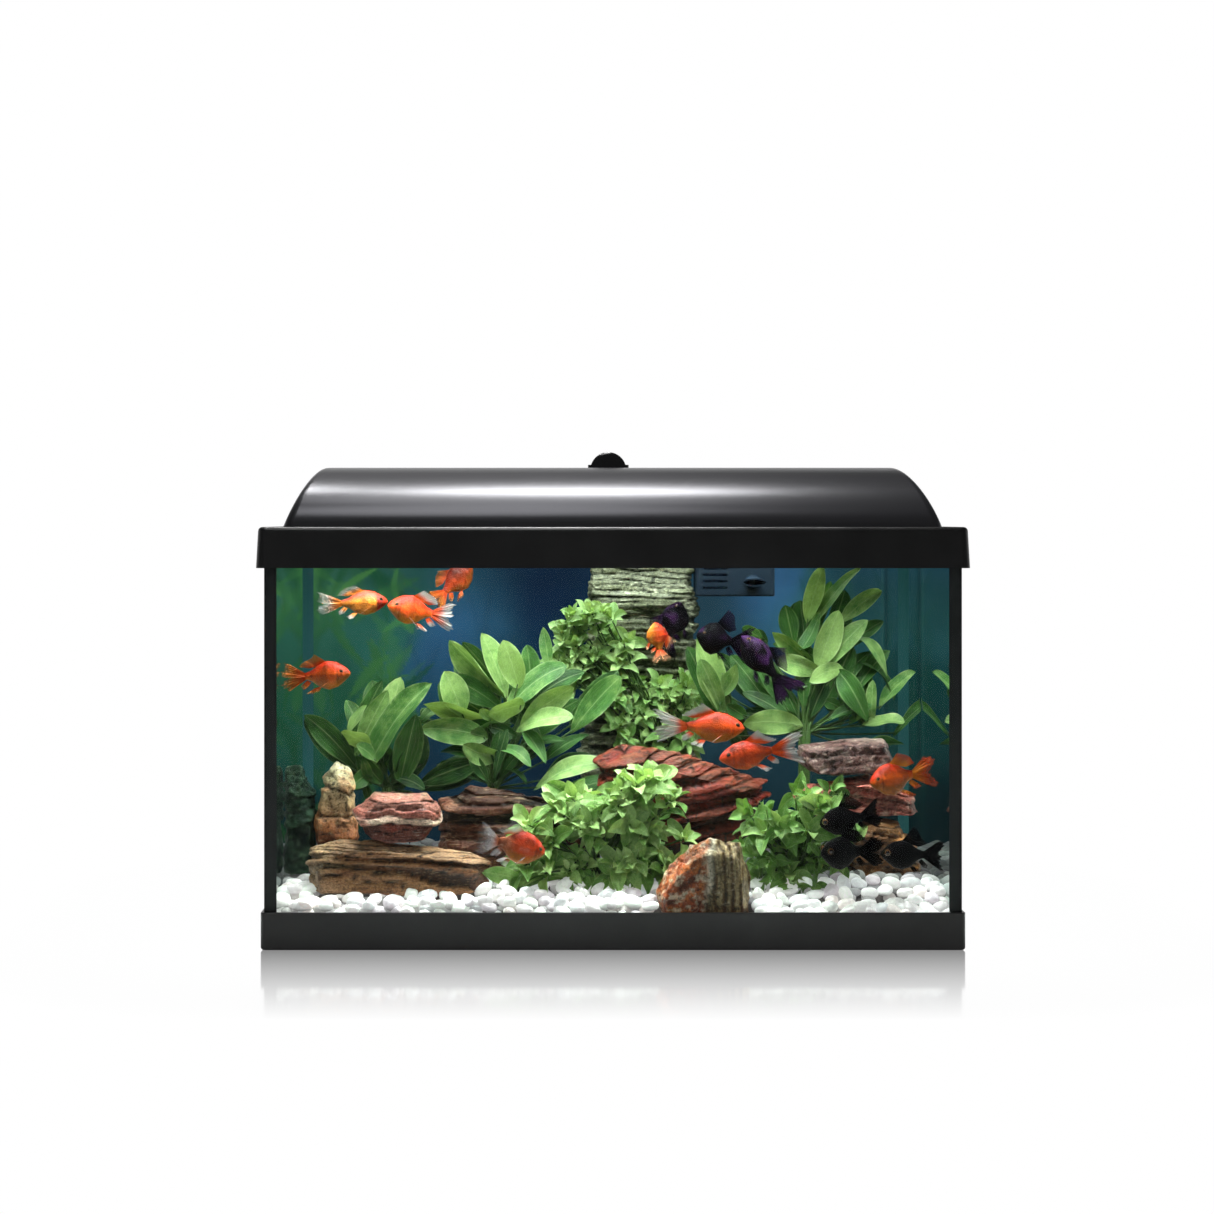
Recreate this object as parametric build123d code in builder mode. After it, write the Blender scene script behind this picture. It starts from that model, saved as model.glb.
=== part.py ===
from build123d import *
import math
import os

# Framed glass aquarium with a domed lighting hood, internal filter, planted
# rockwork and goldfish.  All sizes in millimetres.
# Origin: centre of the base frame's underside.  +X right, -Y front, +Z up.

os.makedirs("parts", exist_ok=True)

# ---------------------------------------------------------------- shared sizes
TANK_LENGTH = 500.0
TANK_WIDTH = 250.0
GLASS_TOP = 300.0
GLASS = 4.0                 # wall panes
BOTTOM_GLASS = 5.0          # bottom pane
BASE_FLOOR = 3.0
JOINT = 1.0                 # silicone thickness between neighbouring panes

OUTER_X = TANK_LENGTH / 2   # outer and inner faces of the wall panes
OUTER_Y = TANK_WIDTH / 2
INNER_X = OUTER_X - GLASS
INNER_Y = OUTER_Y - GLASS
FLOOR_Z = BASE_FLOOR + BOTTOM_GLASS     # top of the bottom pane
PANE_FOOT = FLOOR_Z + JOINT

HOOD_TOP_Z = 303.0
HOOD_FLANGE = 3.0
FLANGE_Z = HOOD_TOP_Z - HOOD_FLANGE     # underside of the flange

LID_AXIS = (122.6, 307.0)   # lid hinge (y, z)
HINGES_X = (-150, 150)
HINGE_RADIUS = 3.6          # ears and knuckles
HINGE_PIN_RADIUS = 1.5

TUBE_Y = -40.0
TUBE_Z = 319.0

# screws that hold the lamp tray down on the flange
TRAY_SCREW_X = 227
TRAY_SCREWS = [(x, y) for x in (-TRAY_SCREW_X, TRAY_SCREW_X)
               for y in (TUBE_Y - 12, TUBE_Y + 12)]
TRAY_SCREW_RADIUS = 1.25

FILTER_CABLE_X = 109.0
LAMP_CABLE_X = -105.0
CABLE_RADIUS = 2.5
BACK_Y = 134.5              # plane in which the two mains leads hang
PLUG_TOP_Z = 66


# ---------------------------------------------------------------- helpers
def at_x(x):
    """Sketch plane (y, z) at x, facing right."""
    return Plane.YZ.offset(x)


def at_y(y):
    """Sketch plane (x, z) at y, facing the front: negative extrusions go back."""
    return Plane.XZ.offset(-y)


def at_z(z):
    """Sketch plane (x, y) at z, facing up."""
    return Plane.XY.offset(z)


# These three draw in the sketch that is open where they are called.
def discs(radius, *centres, mode=Mode.ADD):
    with Locations(*centres):
        Circle(radius, mode=mode)


def rectangles(width, height, *centres, mode=Mode.ADD):
    with Locations(*centres):
        Rectangle(width, height, mode=mode)


def rounded(width, height, radius, *centres):
    with Locations(*centres):
        RectangleRounded(width, height, radius)


def write(builder, name):
    builder.part.label = name
    export_step(builder.part, "parts/" + name + ".step")


# ================================================================ glass box
BASE_HEIGHT = 27.0
BASE_WALL = 2.2
BASE_GAP = 0.3              # between the glass and the frame's wall
BASE_MARGIN = 2 * (BASE_GAP + BASE_WALL)

with BuildPart() as base_frame:
    with BuildSketch():
        RectangleRounded(TANK_LENGTH + BASE_MARGIN, TANK_WIDTH + BASE_MARGIN, 4)
    extrude(amount=BASE_HEIGHT)
    with BuildSketch(at_z(BASE_FLOOR)):
        Rectangle(TANK_LENGTH + 2 * BASE_GAP, TANK_WIDTH + 2 * BASE_GAP)
    extrude(amount=BASE_HEIGHT, mode=Mode.SUBTRACT)
    with BuildSketch():
        RectangleRounded(440, 190, 6)
    extrude(amount=BASE_FLOOR, mode=Mode.SUBTRACT)
    # floor ribs, flush with the underside
    with BuildSketch():
        rectangles(12, 196, (-110, 0), (0, 0), (110, 0))
    extrude(amount=BASE_FLOOR)
    fillet(base_frame.faces().sort_by(Axis.Z)[0].outer_wire().edges(), radius=2)
    top_face = base_frame.faces().filter_by(Plane.XY).sort_by(Axis.Z)[-1]
    fillet(top_face.outer_wire().edges(), radius=0.8)
write(base_frame, "base_frame")

PANE_CHAMFER = 0.6
with BuildPart() as bottom_pane:
    with BuildSketch(at_z(BASE_FLOOR)):
        Rectangle(TANK_LENGTH, TANK_WIDTH)
    extrude(amount=BOTTOM_GLASS)
    chamfer(bottom_pane.edges().filter_by(Axis.Z), length=PANE_CHAMFER)
write(bottom_pane, "bottom_pane")

# full-length panes, their outer upright edges chamfered
for name, side, outer_group in (("front_pane", -1, 0), ("rear_pane", 1, -1)):
    with BuildPart() as long_pane:
        with BuildSketch(at_z(PANE_FOOT)):
            rectangles(TANK_LENGTH, GLASS, (0, side * (TANK_WIDTH - GLASS) / 2))
        extrude(amount=GLASS_TOP - PANE_FOOT)
        uprights = long_pane.edges().filter_by(Axis.Z)
        chamfer(uprights.group_by(Axis.Y)[outer_group], length=PANE_CHAMFER)
    write(long_pane, name)

# end panes, set between the long ones
for name, side in (("left_pane", -1), ("right_pane", 1)):
    with BuildPart() as end_pane:
        with BuildSketch(at_z(PANE_FOOT)):
            rectangles(GLASS, 2 * (INNER_Y - JOINT), (side * (TANK_LENGTH - GLASS) / 2, 0))
        extrude(amount=GLASS_TOP - PANE_FOOT)
    write(end_pane, name)

# silicone in the four upright corners: it fills the joint between the panes
# and forms a small fillet on the wet side
CORNER_BEAD = 4.5
BED_BEAD = 4.0              # same fillet along the bottom
CORNER_FOOT = FLOOR_Z + BED_BEAD + 0.01
with BuildPart() as corner_silicone:
    with BuildSketch(at_z(CORNER_FOOT)):
        with BuildLine():
            Polyline((OUTER_X, -INNER_Y), (OUTER_X, -INNER_Y + JOINT),
                     (INNER_X, -INNER_Y + JOINT), (INNER_X, -INNER_Y + CORNER_BEAD),
                     (INNER_X - CORNER_BEAD, -INNER_Y), close=True)
        make_face()
        mirror(about=Plane.XZ)
        mirror(about=Plane.YZ)
    extrude(amount=GLASS_TOP - 1 - CORNER_FOOT)
write(corner_silicone, "corner_silicone")

# silicone bed between the bottom pane and the wall panes, with its inner fillet
BED_LENGTH = 2 * (INNER_X - BED_BEAD)   # clear opening at the foot of the fillet
BED_WIDTH = 2 * (INNER_Y - BED_BEAD)
with BuildPart() as bottom_silicone:
    with BuildSketch(at_z(FLOOR_Z)):
        Rectangle(TANK_LENGTH, TANK_WIDTH)
    extrude(amount=JOINT)
    with BuildSketch(at_z(FLOOR_Z)):
        Rectangle(2 * INNER_X, 2 * INNER_Y)
    extrude(amount=BED_BEAD)
    with BuildSketch(at_z(FLOOR_Z)):
        Rectangle(BED_LENGTH, BED_WIDTH)
    with BuildSketch(at_z(FLOOR_Z + BED_BEAD)):
        Rectangle(2 * INNER_X, 2 * INNER_Y)
    loft(mode=Mode.SUBTRACT)
write(bottom_silicone, "bottom_silicone")

# blue picture film on the outside of the rear pane
with BuildPart() as backdrop_film:
    with BuildSketch(at_y(OUTER_Y + 0.05)):
        rectangles(486, 243, (0, 150.5))
    extrude(amount=-0.4)
write(backdrop_film, "backdrop_film")

# bed of marble pebbles: a smaller foot clears the silicone, and a pocket
# takes the split rock
GRAVEL_TOP = 44.0
GRAVEL_FOOT = 4.2           # height of the smaller foot
GRAVEL_GAP = 0.5
GRAVEL_CORNER = 5.0         # corners cut off past the upright silicone
gravel_x = INNER_X - GRAVEL_GAP
gravel_y = INNER_Y - GRAVEL_GAP
with BuildPart() as gravel_bed:
    with BuildSketch(at_z(FLOOR_Z)):
        Rectangle(BED_LENGTH - 2 * GRAVEL_GAP, BED_WIDTH - 2 * GRAVEL_GAP)
    extrude(amount=GRAVEL_FOOT)
    with BuildSketch(at_z(FLOOR_Z + GRAVEL_FOOT)):
        cut_x = gravel_x - GRAVEL_CORNER
        cut_y = gravel_y - GRAVEL_CORNER
        with BuildLine():
            Polyline((-cut_x, -gravel_y), (cut_x, -gravel_y), (gravel_x, -cut_y),
                     (gravel_x, cut_y), (cut_x, gravel_y), (-cut_x, gravel_y),
                     (-gravel_x, cut_y), (-gravel_x, -cut_y), close=True)
        make_face()
    extrude(amount=GRAVEL_TOP - FLOOR_Z - GRAVEL_FOOT)
    with BuildSketch(at_z(20)):
        rectangles(75, 34, (65.5, -104.5))
    extrude(amount=30, mode=Mode.SUBTRACT)
write(gravel_bed, "gravel_bed")

# ================================================================ hood frame
SKIRT_BOTTOM_Z = 273.6
SKIRT_BOTTOM = (511.4, 261.4)
SKIRT_TOP = (508.6, 258.6)
SKIRT_CORNER = 6.0
HOOD_WALL = 2.2
RIB_X = INNER_X - 2.5       # middles of the ribs inside the glass
RIB_Y = INNER_Y - 2.5
EAR_FOOT_Z = HOOD_TOP_Z - 1.0
EAR_WIDTH = 4
EAR_OFFSET = 10             # each ear's middle from its hinge's middle

with BuildPart() as hood_frame:
    for z, (length, width) in ((SKIRT_BOTTOM_Z, SKIRT_BOTTOM), (HOOD_TOP_Z, SKIRT_TOP)):
        with BuildSketch(at_z(z)):
            RectangleRounded(length, width, SKIRT_CORNER)
    loft()
    # rounded upper rim
    fillet(hood_frame.faces().sort_by(Axis.Z)[-1].outer_wire().edges(), radius=3.2)
    # cavity that drops over the glass
    for z, (length, width) in ((SKIRT_BOTTOM_Z, SKIRT_BOTTOM), (FLANGE_Z, SKIRT_TOP)):
        with BuildSketch(at_z(z)):
            RectangleRounded(length - 2 * HOOD_WALL, width - 2 * HOOD_WALL,
                             SKIRT_CORNER - HOOD_WALL)
    loft(mode=Mode.SUBTRACT)
    # opening in the flange, leaving a rear shelf for the ballast on the left
    with BuildSketch(at_z(FLANGE_Z)):
        RectangleRounded(444, 211, 8)
        rectangles(130, 60, (-160, 90), mode=Mode.SUBTRACT)
    extrude(amount=HOOD_FLANGE, mode=Mode.SUBTRACT)
    # ribs that locate the frame inside the glass
    with BuildSketch(at_z(292)):
        rectangles(24, 2, (-200, -RIB_Y), (200, -RIB_Y), (-200, RIB_Y), (200, RIB_Y))
        rectangles(2, 24, (-RIB_X, -90), (RIB_X, -90), (-RIB_X, 90), (RIB_X, 90))
    extrude(amount=8.5)
    # hinge ears on the rear edge, two per hinge
    for hinge_x in HINGES_X:
        for offset in (-EAR_OFFSET, EAR_OFFSET):
            ear_plane = at_x(hinge_x + offset - EAR_WIDTH / 2)
            with BuildSketch(ear_plane):
                discs(HINGE_RADIUS, LID_AXIS)
                rectangles(2 * HINGE_RADIUS, LID_AXIS[1] - EAR_FOOT_Z,
                           (LID_AXIS[0], (LID_AXIS[1] + EAR_FOOT_Z) / 2))
            extrude(amount=EAR_WIDTH)
            with BuildSketch(ear_plane):
                discs(HINGE_PIN_RADIUS, LID_AXIS)
            extrude(amount=EAR_WIDTH, mode=Mode.SUBTRACT)
    # gap in the rear wall for the filter lead
    with BuildSketch(at_z(270)):
        rectangles(14, 31, (FILTER_CABLE_X, 119.5))
    extrude(amount=36, mode=Mode.SUBTRACT)
    # screw holes for the lamp tray
    with BuildSketch(at_z(FLANGE_Z)):
        discs(TRAY_SCREW_RADIUS, *TRAY_SCREWS)
    extrude(amount=HOOD_FLANGE, mode=Mode.SUBTRACT)
write(hood_frame, "hood_frame")

HINGE_PIN_LENGTH = 26
with BuildPart() as hinge_pins:
    for hinge_x in HINGES_X:
        with BuildSketch(at_x(hinge_x - HINGE_PIN_LENGTH / 2)):
            discs(HINGE_PIN_RADIUS, LID_AXIS)
        extrude(amount=HINGE_PIN_LENGTH)
write(hinge_pins, "hinge_pins")

# ================================================================ lid
LID_HALF_LENGTH = 238.0
LID_HALF_WIDTH = 118.0
LID_CREST_Z = 348.0
LID_WALL = 2.2
LID_END_INSET = 18.5        # how far the lid's ends lean in at the crest
LID_RADIUS = 500.0          # top arc of the lid
LID_ARC_Y = -5.0            # centre of that arc
LID_ARC_Z = LID_CREST_Z - LID_RADIUS
LEAN = math.atan2(LID_END_INSET, LID_CREST_Z - HOOD_TOP_Z)

HATCH_AXIS = (91.0, 342.3)  # hatch hinge (y, z)
HATCH_Y = 53.0              # middle of the feeding opening and its hatch
HATCH_HINGE_RADIUS = 2.6
HATCH_PIN_RADIUS = 1.0
HATCH_EAR_X = 32
HATCH_EAR_WIDTH = 4
HATCH_EAR_FOOT_Z = 337.4
KNUCKLE_WIDTH = 15.4


def draw_lid_profile(inset, arc_end_y, shoulder_z):
    """Draw the (y, z) lid profile, moved in by inset, in the open BuildLine.

    The top arc ends at arc_end_y; a sloping line joins it to the rear wall
    at shoulder_z.
    """
    half_width = LID_HALF_WIDTH - inset
    crest_z = LID_CREST_Z - inset

    def arc_point(y):
        rise = math.sqrt((LID_RADIUS - inset) ** 2 - (y - LID_ARC_Y) ** 2)
        return (y, LID_ARC_Z + rise)

    EllipticalCenterArc((LID_ARC_Y, HOOD_TOP_Z), half_width + LID_ARC_Y,
                        crest_z - HOOD_TOP_Z, start_angle=90, arc_size=90)
    top_arc = ThreePointArc((LID_ARC_Y, crest_z), arc_point(50), arc_point(arc_end_y))
    Line(top_arc @ 1, (half_width, shoulder_z))
    Line((half_width, shoulder_z), (half_width, HOOD_TOP_Z))
    Line((half_width, HOOD_TOP_Z), (-half_width, HOOD_TOP_Z))


def lid_end_plane(side, wall):
    """Leaning plane of the lid's right (1) or left (-1) end, moved in by wall."""
    return Plane(origin=(side * (LID_HALF_LENGTH - wall / math.cos(LEAN)), 0, HOOD_TOP_Z),
                 z_dir=(side * math.cos(LEAN), 0, math.sin(LEAN)))


# solid that is hollowed out of the lid
with BuildPart() as lid_void:
    with BuildSketch(at_x(-LID_HALF_LENGTH)):
        with BuildLine():
            draw_lid_profile(inset=LID_WALL, arc_end_y=103, shoulder_z=321.1)
        make_face()
    extrude(amount=2 * LID_HALF_LENGTH)
    for side in (1, -1):
        split(bisect_by=lid_end_plane(side, LID_WALL), keep=Keep.BOTTOM)

with BuildPart() as lid:
    with BuildSketch(at_x(-LID_HALF_LENGTH)):
        with BuildLine():
            draw_lid_profile(inset=0, arc_end_y=104, shoulder_z=322)
        make_face()
    extrude(amount=2 * LID_HALF_LENGTH)
    for side in (1, -1):
        split(bisect_by=lid_end_plane(side, 0), keep=Keep.BOTTOM)
    # round the ends, except along the lid's foot
    right_end = lid.faces().sort_by(Axis.X)[-1]
    left_end = lid.faces().sort_by(Axis.X)[0]
    end_edges = [edge for face in (right_end, left_end) for edge in face.edges()
                 if edge.center().Z > HOOD_TOP_Z + 1]
    fillet(end_edges, radius=7)
    add(lid_void.part, mode=Mode.SUBTRACT)
    # feeding opening
    with BuildSketch(at_z(330)):
        rounded(110, 58, 4, (0, HATCH_Y))
    extrude(amount=30, mode=Mode.SUBTRACT)
    # notches in the rear wall for the two leads
    with BuildSketch(at_y(112)):
        rectangles(16, 9, (FILTER_CABLE_X, 307.5), (LAMP_CABLE_X, 307.5))
    extrude(amount=-8, mode=Mode.SUBTRACT)
    # lid knuckles, one between each pair of ears
    knuckle_root_y = LID_HALF_WIDTH - 0.5
    for hinge_x in HINGES_X:
        knuckle_plane = at_x(hinge_x - KNUCKLE_WIDTH / 2)
        with BuildSketch(knuckle_plane):
            discs(HINGE_RADIUS, LID_AXIS)
            rectangles(LID_AXIS[0] - knuckle_root_y, 5.8,
                       ((LID_AXIS[0] + knuckle_root_y) / 2, 307.1))
        extrude(amount=KNUCKLE_WIDTH)
        with BuildSketch(knuckle_plane):
            discs(HINGE_PIN_RADIUS + 0.06, LID_AXIS)
        extrude(amount=KNUCKLE_WIDTH, mode=Mode.SUBTRACT)
    # ears for the feeding hatch
    for ear_x in (-HATCH_EAR_X, HATCH_EAR_X):
        ear_plane = at_x(ear_x - HATCH_EAR_WIDTH / 2)
        with BuildSketch(ear_plane):
            discs(HATCH_HINGE_RADIUS, HATCH_AXIS)
            rectangles(2 * HATCH_HINGE_RADIUS, HATCH_AXIS[1] - HATCH_EAR_FOOT_Z,
                       (HATCH_AXIS[0], (HATCH_AXIS[1] + HATCH_EAR_FOOT_Z) / 2))
        extrude(amount=HATCH_EAR_WIDTH)
        with BuildSketch(ear_plane):
            discs(HATCH_PIN_RADIUS, HATCH_AXIS)
        extrude(amount=HATCH_EAR_WIDTH, mode=Mode.SUBTRACT)
write(lid, "lid")

# ---------------------------------------------------------------- hatch
KNOB = (0, 28.0)            # knob and its screw (x, y)
KNOB_WIDTH = 9.0
KNOB_SCREW_RADIUS = 1.5
SCREW_HEAD_Z = 345.0
SCREW_HEAD_HEIGHT = 1.8
HATCH_LENGTH = 118
HATCH_BARREL = 59.4         # hinge barrel between the lid's ears
HATCH_TOP_RADIUS = LID_RADIUS + 1.1

# curved plate lying just clear of the lid's top arc
with BuildPart() as feeding_hatch:
    with BuildSketch(at_x(-HATCH_LENGTH / 2)):
        discs(HATCH_TOP_RADIUS, (LID_ARC_Y, LID_ARC_Z))
        discs(LID_RADIUS + 0.15, (LID_ARC_Y, LID_ARC_Z), mode=Mode.SUBTRACT)
        rectangles(66, 30, (HATCH_Y, 345), mode=Mode.INTERSECT)
    extrude(amount=HATCH_LENGTH)
    # the four upright corner edges are the only short ones
    fillet(feeding_hatch.edges().filter_by(lambda edge: edge.length < 3), radius=5)
    # hinge barrel and the strip that joins it to the plate
    with BuildSketch(at_x(-HATCH_BARREL / 2)):
        discs(HATCH_HINGE_RADIUS, HATCH_AXIS)
        rectangles(HATCH_AXIS[0] - 85, 1.6, ((HATCH_AXIS[0] + 85) / 2, 341.1))
    extrude(amount=HATCH_BARREL)
    with BuildSketch(at_x(-HATCH_BARREL / 2)):
        discs(HATCH_PIN_RADIUS + 0.05, HATCH_AXIS)
    extrude(amount=HATCH_BARREL, mode=Mode.SUBTRACT)
    # hole for the knob's screw
    with BuildSketch(at_z(340)):
        discs(KNOB_SCREW_RADIUS + 0.1, KNOB)
    extrude(amount=20, mode=Mode.SUBTRACT)
write(feeding_hatch, "feeding_hatch")

hatch_pin_half = HATCH_EAR_X + HATCH_EAR_WIDTH / 2
with BuildPart() as hatch_pin:
    with BuildSketch(at_x(-hatch_pin_half)):
        discs(HATCH_PIN_RADIUS, HATCH_AXIS)
    extrude(amount=2 * hatch_pin_half)
write(hatch_pin, "hatch_pin")

# half-round grip standing near the hatch's front edge
with BuildPart() as hatch_knob:
    with BuildSketch(at_y(KNOB[1] - KNOB_WIDTH / 2)):
        discs(14.2, (0, 346.8))
        rectangles(40, 26, (0, 335), mode=Mode.SUBTRACT)
    extrude(amount=-KNOB_WIDTH)
    fillet(hatch_knob.edges().filter_by(GeomType.CIRCLE), radius=2.2)
    # foot plate
    with BuildSketch(at_z(347)):
        rounded(32, 12, 3, KNOB)
    extrude(amount=4)
    # underside cut to the hatch's curve
    with BuildSketch(at_x(-30)):
        discs(HATCH_TOP_RADIUS + 0.02, (LID_ARC_Y, LID_ARC_Z))
    extrude(amount=60, mode=Mode.SUBTRACT)
    with BuildSketch(at_z(SCREW_HEAD_Z)):
        discs(KNOB_SCREW_RADIUS, KNOB)
    extrude(amount=11.2, mode=Mode.SUBTRACT)
write(hatch_knob, "hatch_knob")

# screw with a cross recess in its head, entered from below
with BuildPart() as knob_screw:
    with BuildSketch(at_z(SCREW_HEAD_Z)):
        discs(3, KNOB)
    extrude(amount=SCREW_HEAD_HEIGHT)
    with BuildSketch(at_z(SCREW_HEAD_Z + SCREW_HEAD_HEIGHT)):
        discs(KNOB_SCREW_RADIUS, KNOB)
    extrude(amount=9.2)
    with BuildSketch(at_z(SCREW_HEAD_Z)):
        rectangles(3.4, 0.8, KNOB)
        rectangles(0.8, 3.4, KNOB)
    extrude(amount=1.0, mode=Mode.SUBTRACT)
write(knob_screw, "knob_screw")

# ================================================================ lamp
TUBE_AXIS = (TUBE_Y, TUBE_Z)
TUBE_RADIUS = 13.0
TUBE_HALF_LENGTH = 171.0    # glass only
TUBE_END_WALL = 1.0
CAP_LENGTH = 8.5
CONTACTS = [(TUBE_Y - 6.35, TUBE_Z), (TUBE_Y + 6.35, TUBE_Z)]   # contact pins (y, z)

TRAY_LENGTH = 410.0
TRAY_WIDTH = 50.0
TRAY_HEIGHT = 36.0
TRAY_WALL = 1.5
TRAY_FLOOR = 1.0
TRAY_INSIDE_LENGTH = TRAY_LENGTH - 2 * TRAY_WALL
TRAY_INSIDE_WIDTH = TRAY_WIDTH - 2 * TRAY_WALL
TRAY_INSIDE_HEIGHT = TRAY_HEIGHT - TRAY_WALL - TRAY_FLOOR
TAB_THICKNESS = 2.0

with BuildPart() as lamp_tray:
    with BuildSketch(at_x(-TRAY_LENGTH / 2)):
        rectangles(TRAY_WIDTH, TRAY_HEIGHT, (TUBE_Y, FLANGE_Z + TRAY_HEIGHT / 2))
    extrude(amount=TRAY_LENGTH)
    with BuildSketch(at_x(-TRAY_INSIDE_LENGTH / 2)):
        rectangles(TRAY_INSIDE_WIDTH, TRAY_INSIDE_HEIGHT,
                   (TUBE_Y, FLANGE_Z + TRAY_FLOOR + TRAY_INSIDE_HEIGHT / 2))
    extrude(amount=TRAY_INSIDE_LENGTH, mode=Mode.SUBTRACT)
    # window in the floor
    with BuildSketch(at_z(FLANGE_Z - 0.1)):
        rectangles(398, 40, (0, TUBE_Y))
    extrude(amount=3, mode=Mode.SUBTRACT)
    # fixing tabs
    with BuildSketch(at_z(HOOD_TOP_Z)):
        rectangles(27.2, 40, (-218.4, TUBE_Y), (218.4, TUBE_Y))
    extrude(amount=TAB_THICKNESS)
    with BuildSketch(at_z(HOOD_TOP_Z)):
        discs(1.6, *TRAY_SCREWS)
    extrude(amount=TAB_THICKNESS, mode=Mode.SUBTRACT)
    # outlet for the lead towards the ballast
    with BuildSketch(at_y(-10)):
        discs(3, (-150, 320))
    extrude(amount=10, mode=Mode.SUBTRACT)
write(lamp_tray, "lamp_tray")

TRAY_SHANK_LENGTH = 4.8
with BuildPart() as tray_screws:
    with BuildSketch(at_z(HOOD_TOP_Z + TAB_THICKNESS)):
        discs(3, *TRAY_SCREWS)
    extrude(amount=1.8)
    with BuildSketch(at_z(HOOD_TOP_Z + TAB_THICKNESS - TRAY_SHANK_LENGTH)):
        discs(TRAY_SCREW_RADIUS, *TRAY_SCREWS)
    extrude(amount=TRAY_SHANK_LENGTH)
    fillet(tray_screws.edges().filter_by(GeomType.CIRCLE).group_by(Axis.Z)[-1], radius=0.8)
write(tray_screws, "tray_screws")

with BuildPart() as lamp_tube:
    with BuildSketch(at_x(-TUBE_HALF_LENGTH)):
        discs(TUBE_RADIUS, TUBE_AXIS)
    extrude(amount=2 * TUBE_HALF_LENGTH)
    hollow_half = TUBE_HALF_LENGTH - TUBE_END_WALL
    with BuildSketch(at_x(-hollow_half)):
        discs(TUBE_RADIUS - 0.8, TUBE_AXIS)
    extrude(amount=2 * hollow_half, mode=Mode.SUBTRACT)
write(lamp_tube, "lamp_tube")

with BuildPart() as lamp_end_caps:
    for side in (-1, 1):
        with BuildSketch(at_x(side * TUBE_HALF_LENGTH)):
            discs(TUBE_RADIUS, TUBE_AXIS)
        extrude(amount=side * CAP_LENGTH)
        with BuildSketch(at_x(side * (TUBE_HALF_LENGTH + CAP_LENGTH))):
            discs(1.2, *CONTACTS)
        extrude(amount=side * 7)
write(lamp_end_caps, "lamp_end_caps")

SOCKET_X = TUBE_HALF_LENGTH + CAP_LENGTH + 0.5
with BuildPart() as lamp_sockets:
    for side in (-1, 1):
        with BuildSketch(at_x(side * SOCKET_X)):
            discs(15, TUBE_AXIS)
            rectangles(20, 11, (TUBE_Y, 329))
        extrude(amount=side * 16)
        with BuildSketch(at_x(side * SOCKET_X)):
            discs(1.4, *CONTACTS)
        extrude(amount=side * 8, mode=Mode.SUBTRACT)
write(lamp_sockets, "lamp_sockets")

# rings open at the bottom, with a block on top
CLIP_WIDTH = 10
with BuildPart() as tube_clips:
    for clip_x in (-110, 110):
        with BuildSketch(at_x(clip_x - CLIP_WIDTH / 2)):
            discs(14.3, TUBE_AXIS)
            rectangles(12, 2.6, (TUBE_Y, 333.2))
            discs(TUBE_RADIUS + 0.1, TUBE_AXIS, mode=Mode.SUBTRACT)
            rectangles(20, 12, (TUBE_Y, TUBE_Z - 12), mode=Mode.SUBTRACT)
        extrude(amount=CLIP_WIDTH)
write(tube_clips, "tube_clips")

# lies on the tray's floor, over its window
with BuildPart() as splash_cover:
    with BuildSketch(at_z(FLANGE_Z + TRAY_FLOOR + 0.1)):
        rounded(TRAY_INSIDE_LENGTH - 0.6, TRAY_INSIDE_WIDTH - 0.6, 1.5, (0, TUBE_Y))
    extrude(amount=1.5)
write(splash_cover, "splash_cover")

with BuildPart() as ballast_box:
    with BuildSketch(at_z(HOOD_TOP_Z)):
        rounded(100, 32, 3, (-155, 90))
    extrude(amount=19)
    fillet(ballast_box.faces().sort_by(Axis.Z)[-1].edges(), radius=1.5)
write(ballast_box, "ballast_box")

SWITCH_Z = 178.0            # middle of the in-line switch
SWITCH_HALF = 28.0          # half its length
SWITCH_AXIS = (137.5, SWITCH_Z)         # rocker axis (y, z)
LAMP_LEAD = (LAMP_CABLE_X, BACK_Y)      # hanging part (x, y)

# mains lead of the lamp: from the ballast over the rear edge and down the
# back, interrupted by the switch
with BuildPart() as lamp_cable:
    with BuildLine() as upper_path:
        FilletPolyline((LAMP_CABLE_X - 6, 106, 310), (LAMP_CABLE_X - 6, 111, 310),
                       (LAMP_CABLE_X, 116, 307), (LAMP_CABLE_X, BACK_Y, 307),
                       (LAMP_CABLE_X, BACK_Y, SWITCH_Z + SWITCH_HALF), radius=2.6)
    with BuildSketch(Plane(origin=upper_path.line @ 0, z_dir=upper_path.line % 0)):
        Circle(CABLE_RADIUS)
    sweep(path=upper_path.line)
    with BuildSketch(at_z(PLUG_TOP_Z)):
        discs(CABLE_RADIUS, LAMP_LEAD)
    extrude(amount=SWITCH_Z - SWITCH_HALF - PLUG_TOP_Z)
write(lamp_cable, "lamp_cable")

with BuildPart() as cord_switch:
    with BuildSketch(at_z(SWITCH_Z - SWITCH_HALF)):
        rounded(22, 14, 4, LAMP_LEAD)
    extrude(amount=2 * SWITCH_HALF)
    fillet(cord_switch.faces().sort_by(Axis.Z)[-1].edges(), radius=2)
    fillet(cord_switch.faces().sort_by(Axis.Z)[0].edges(), radius=2)
    # well for the rocker, open to the rear
    with BuildSketch(at_y(133)):
        rectangles(10, 18, (LAMP_CABLE_X, SWITCH_Z))
    extrude(amount=-10, mode=Mode.SUBTRACT)
    # bore for the rocker's pivot
    with BuildSketch(at_x(LAMP_CABLE_X - 6.5)):
        discs(1.05, SWITCH_AXIS)
    extrude(amount=13, mode=Mode.SUBTRACT)
write(cord_switch, "cord_switch")

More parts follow.
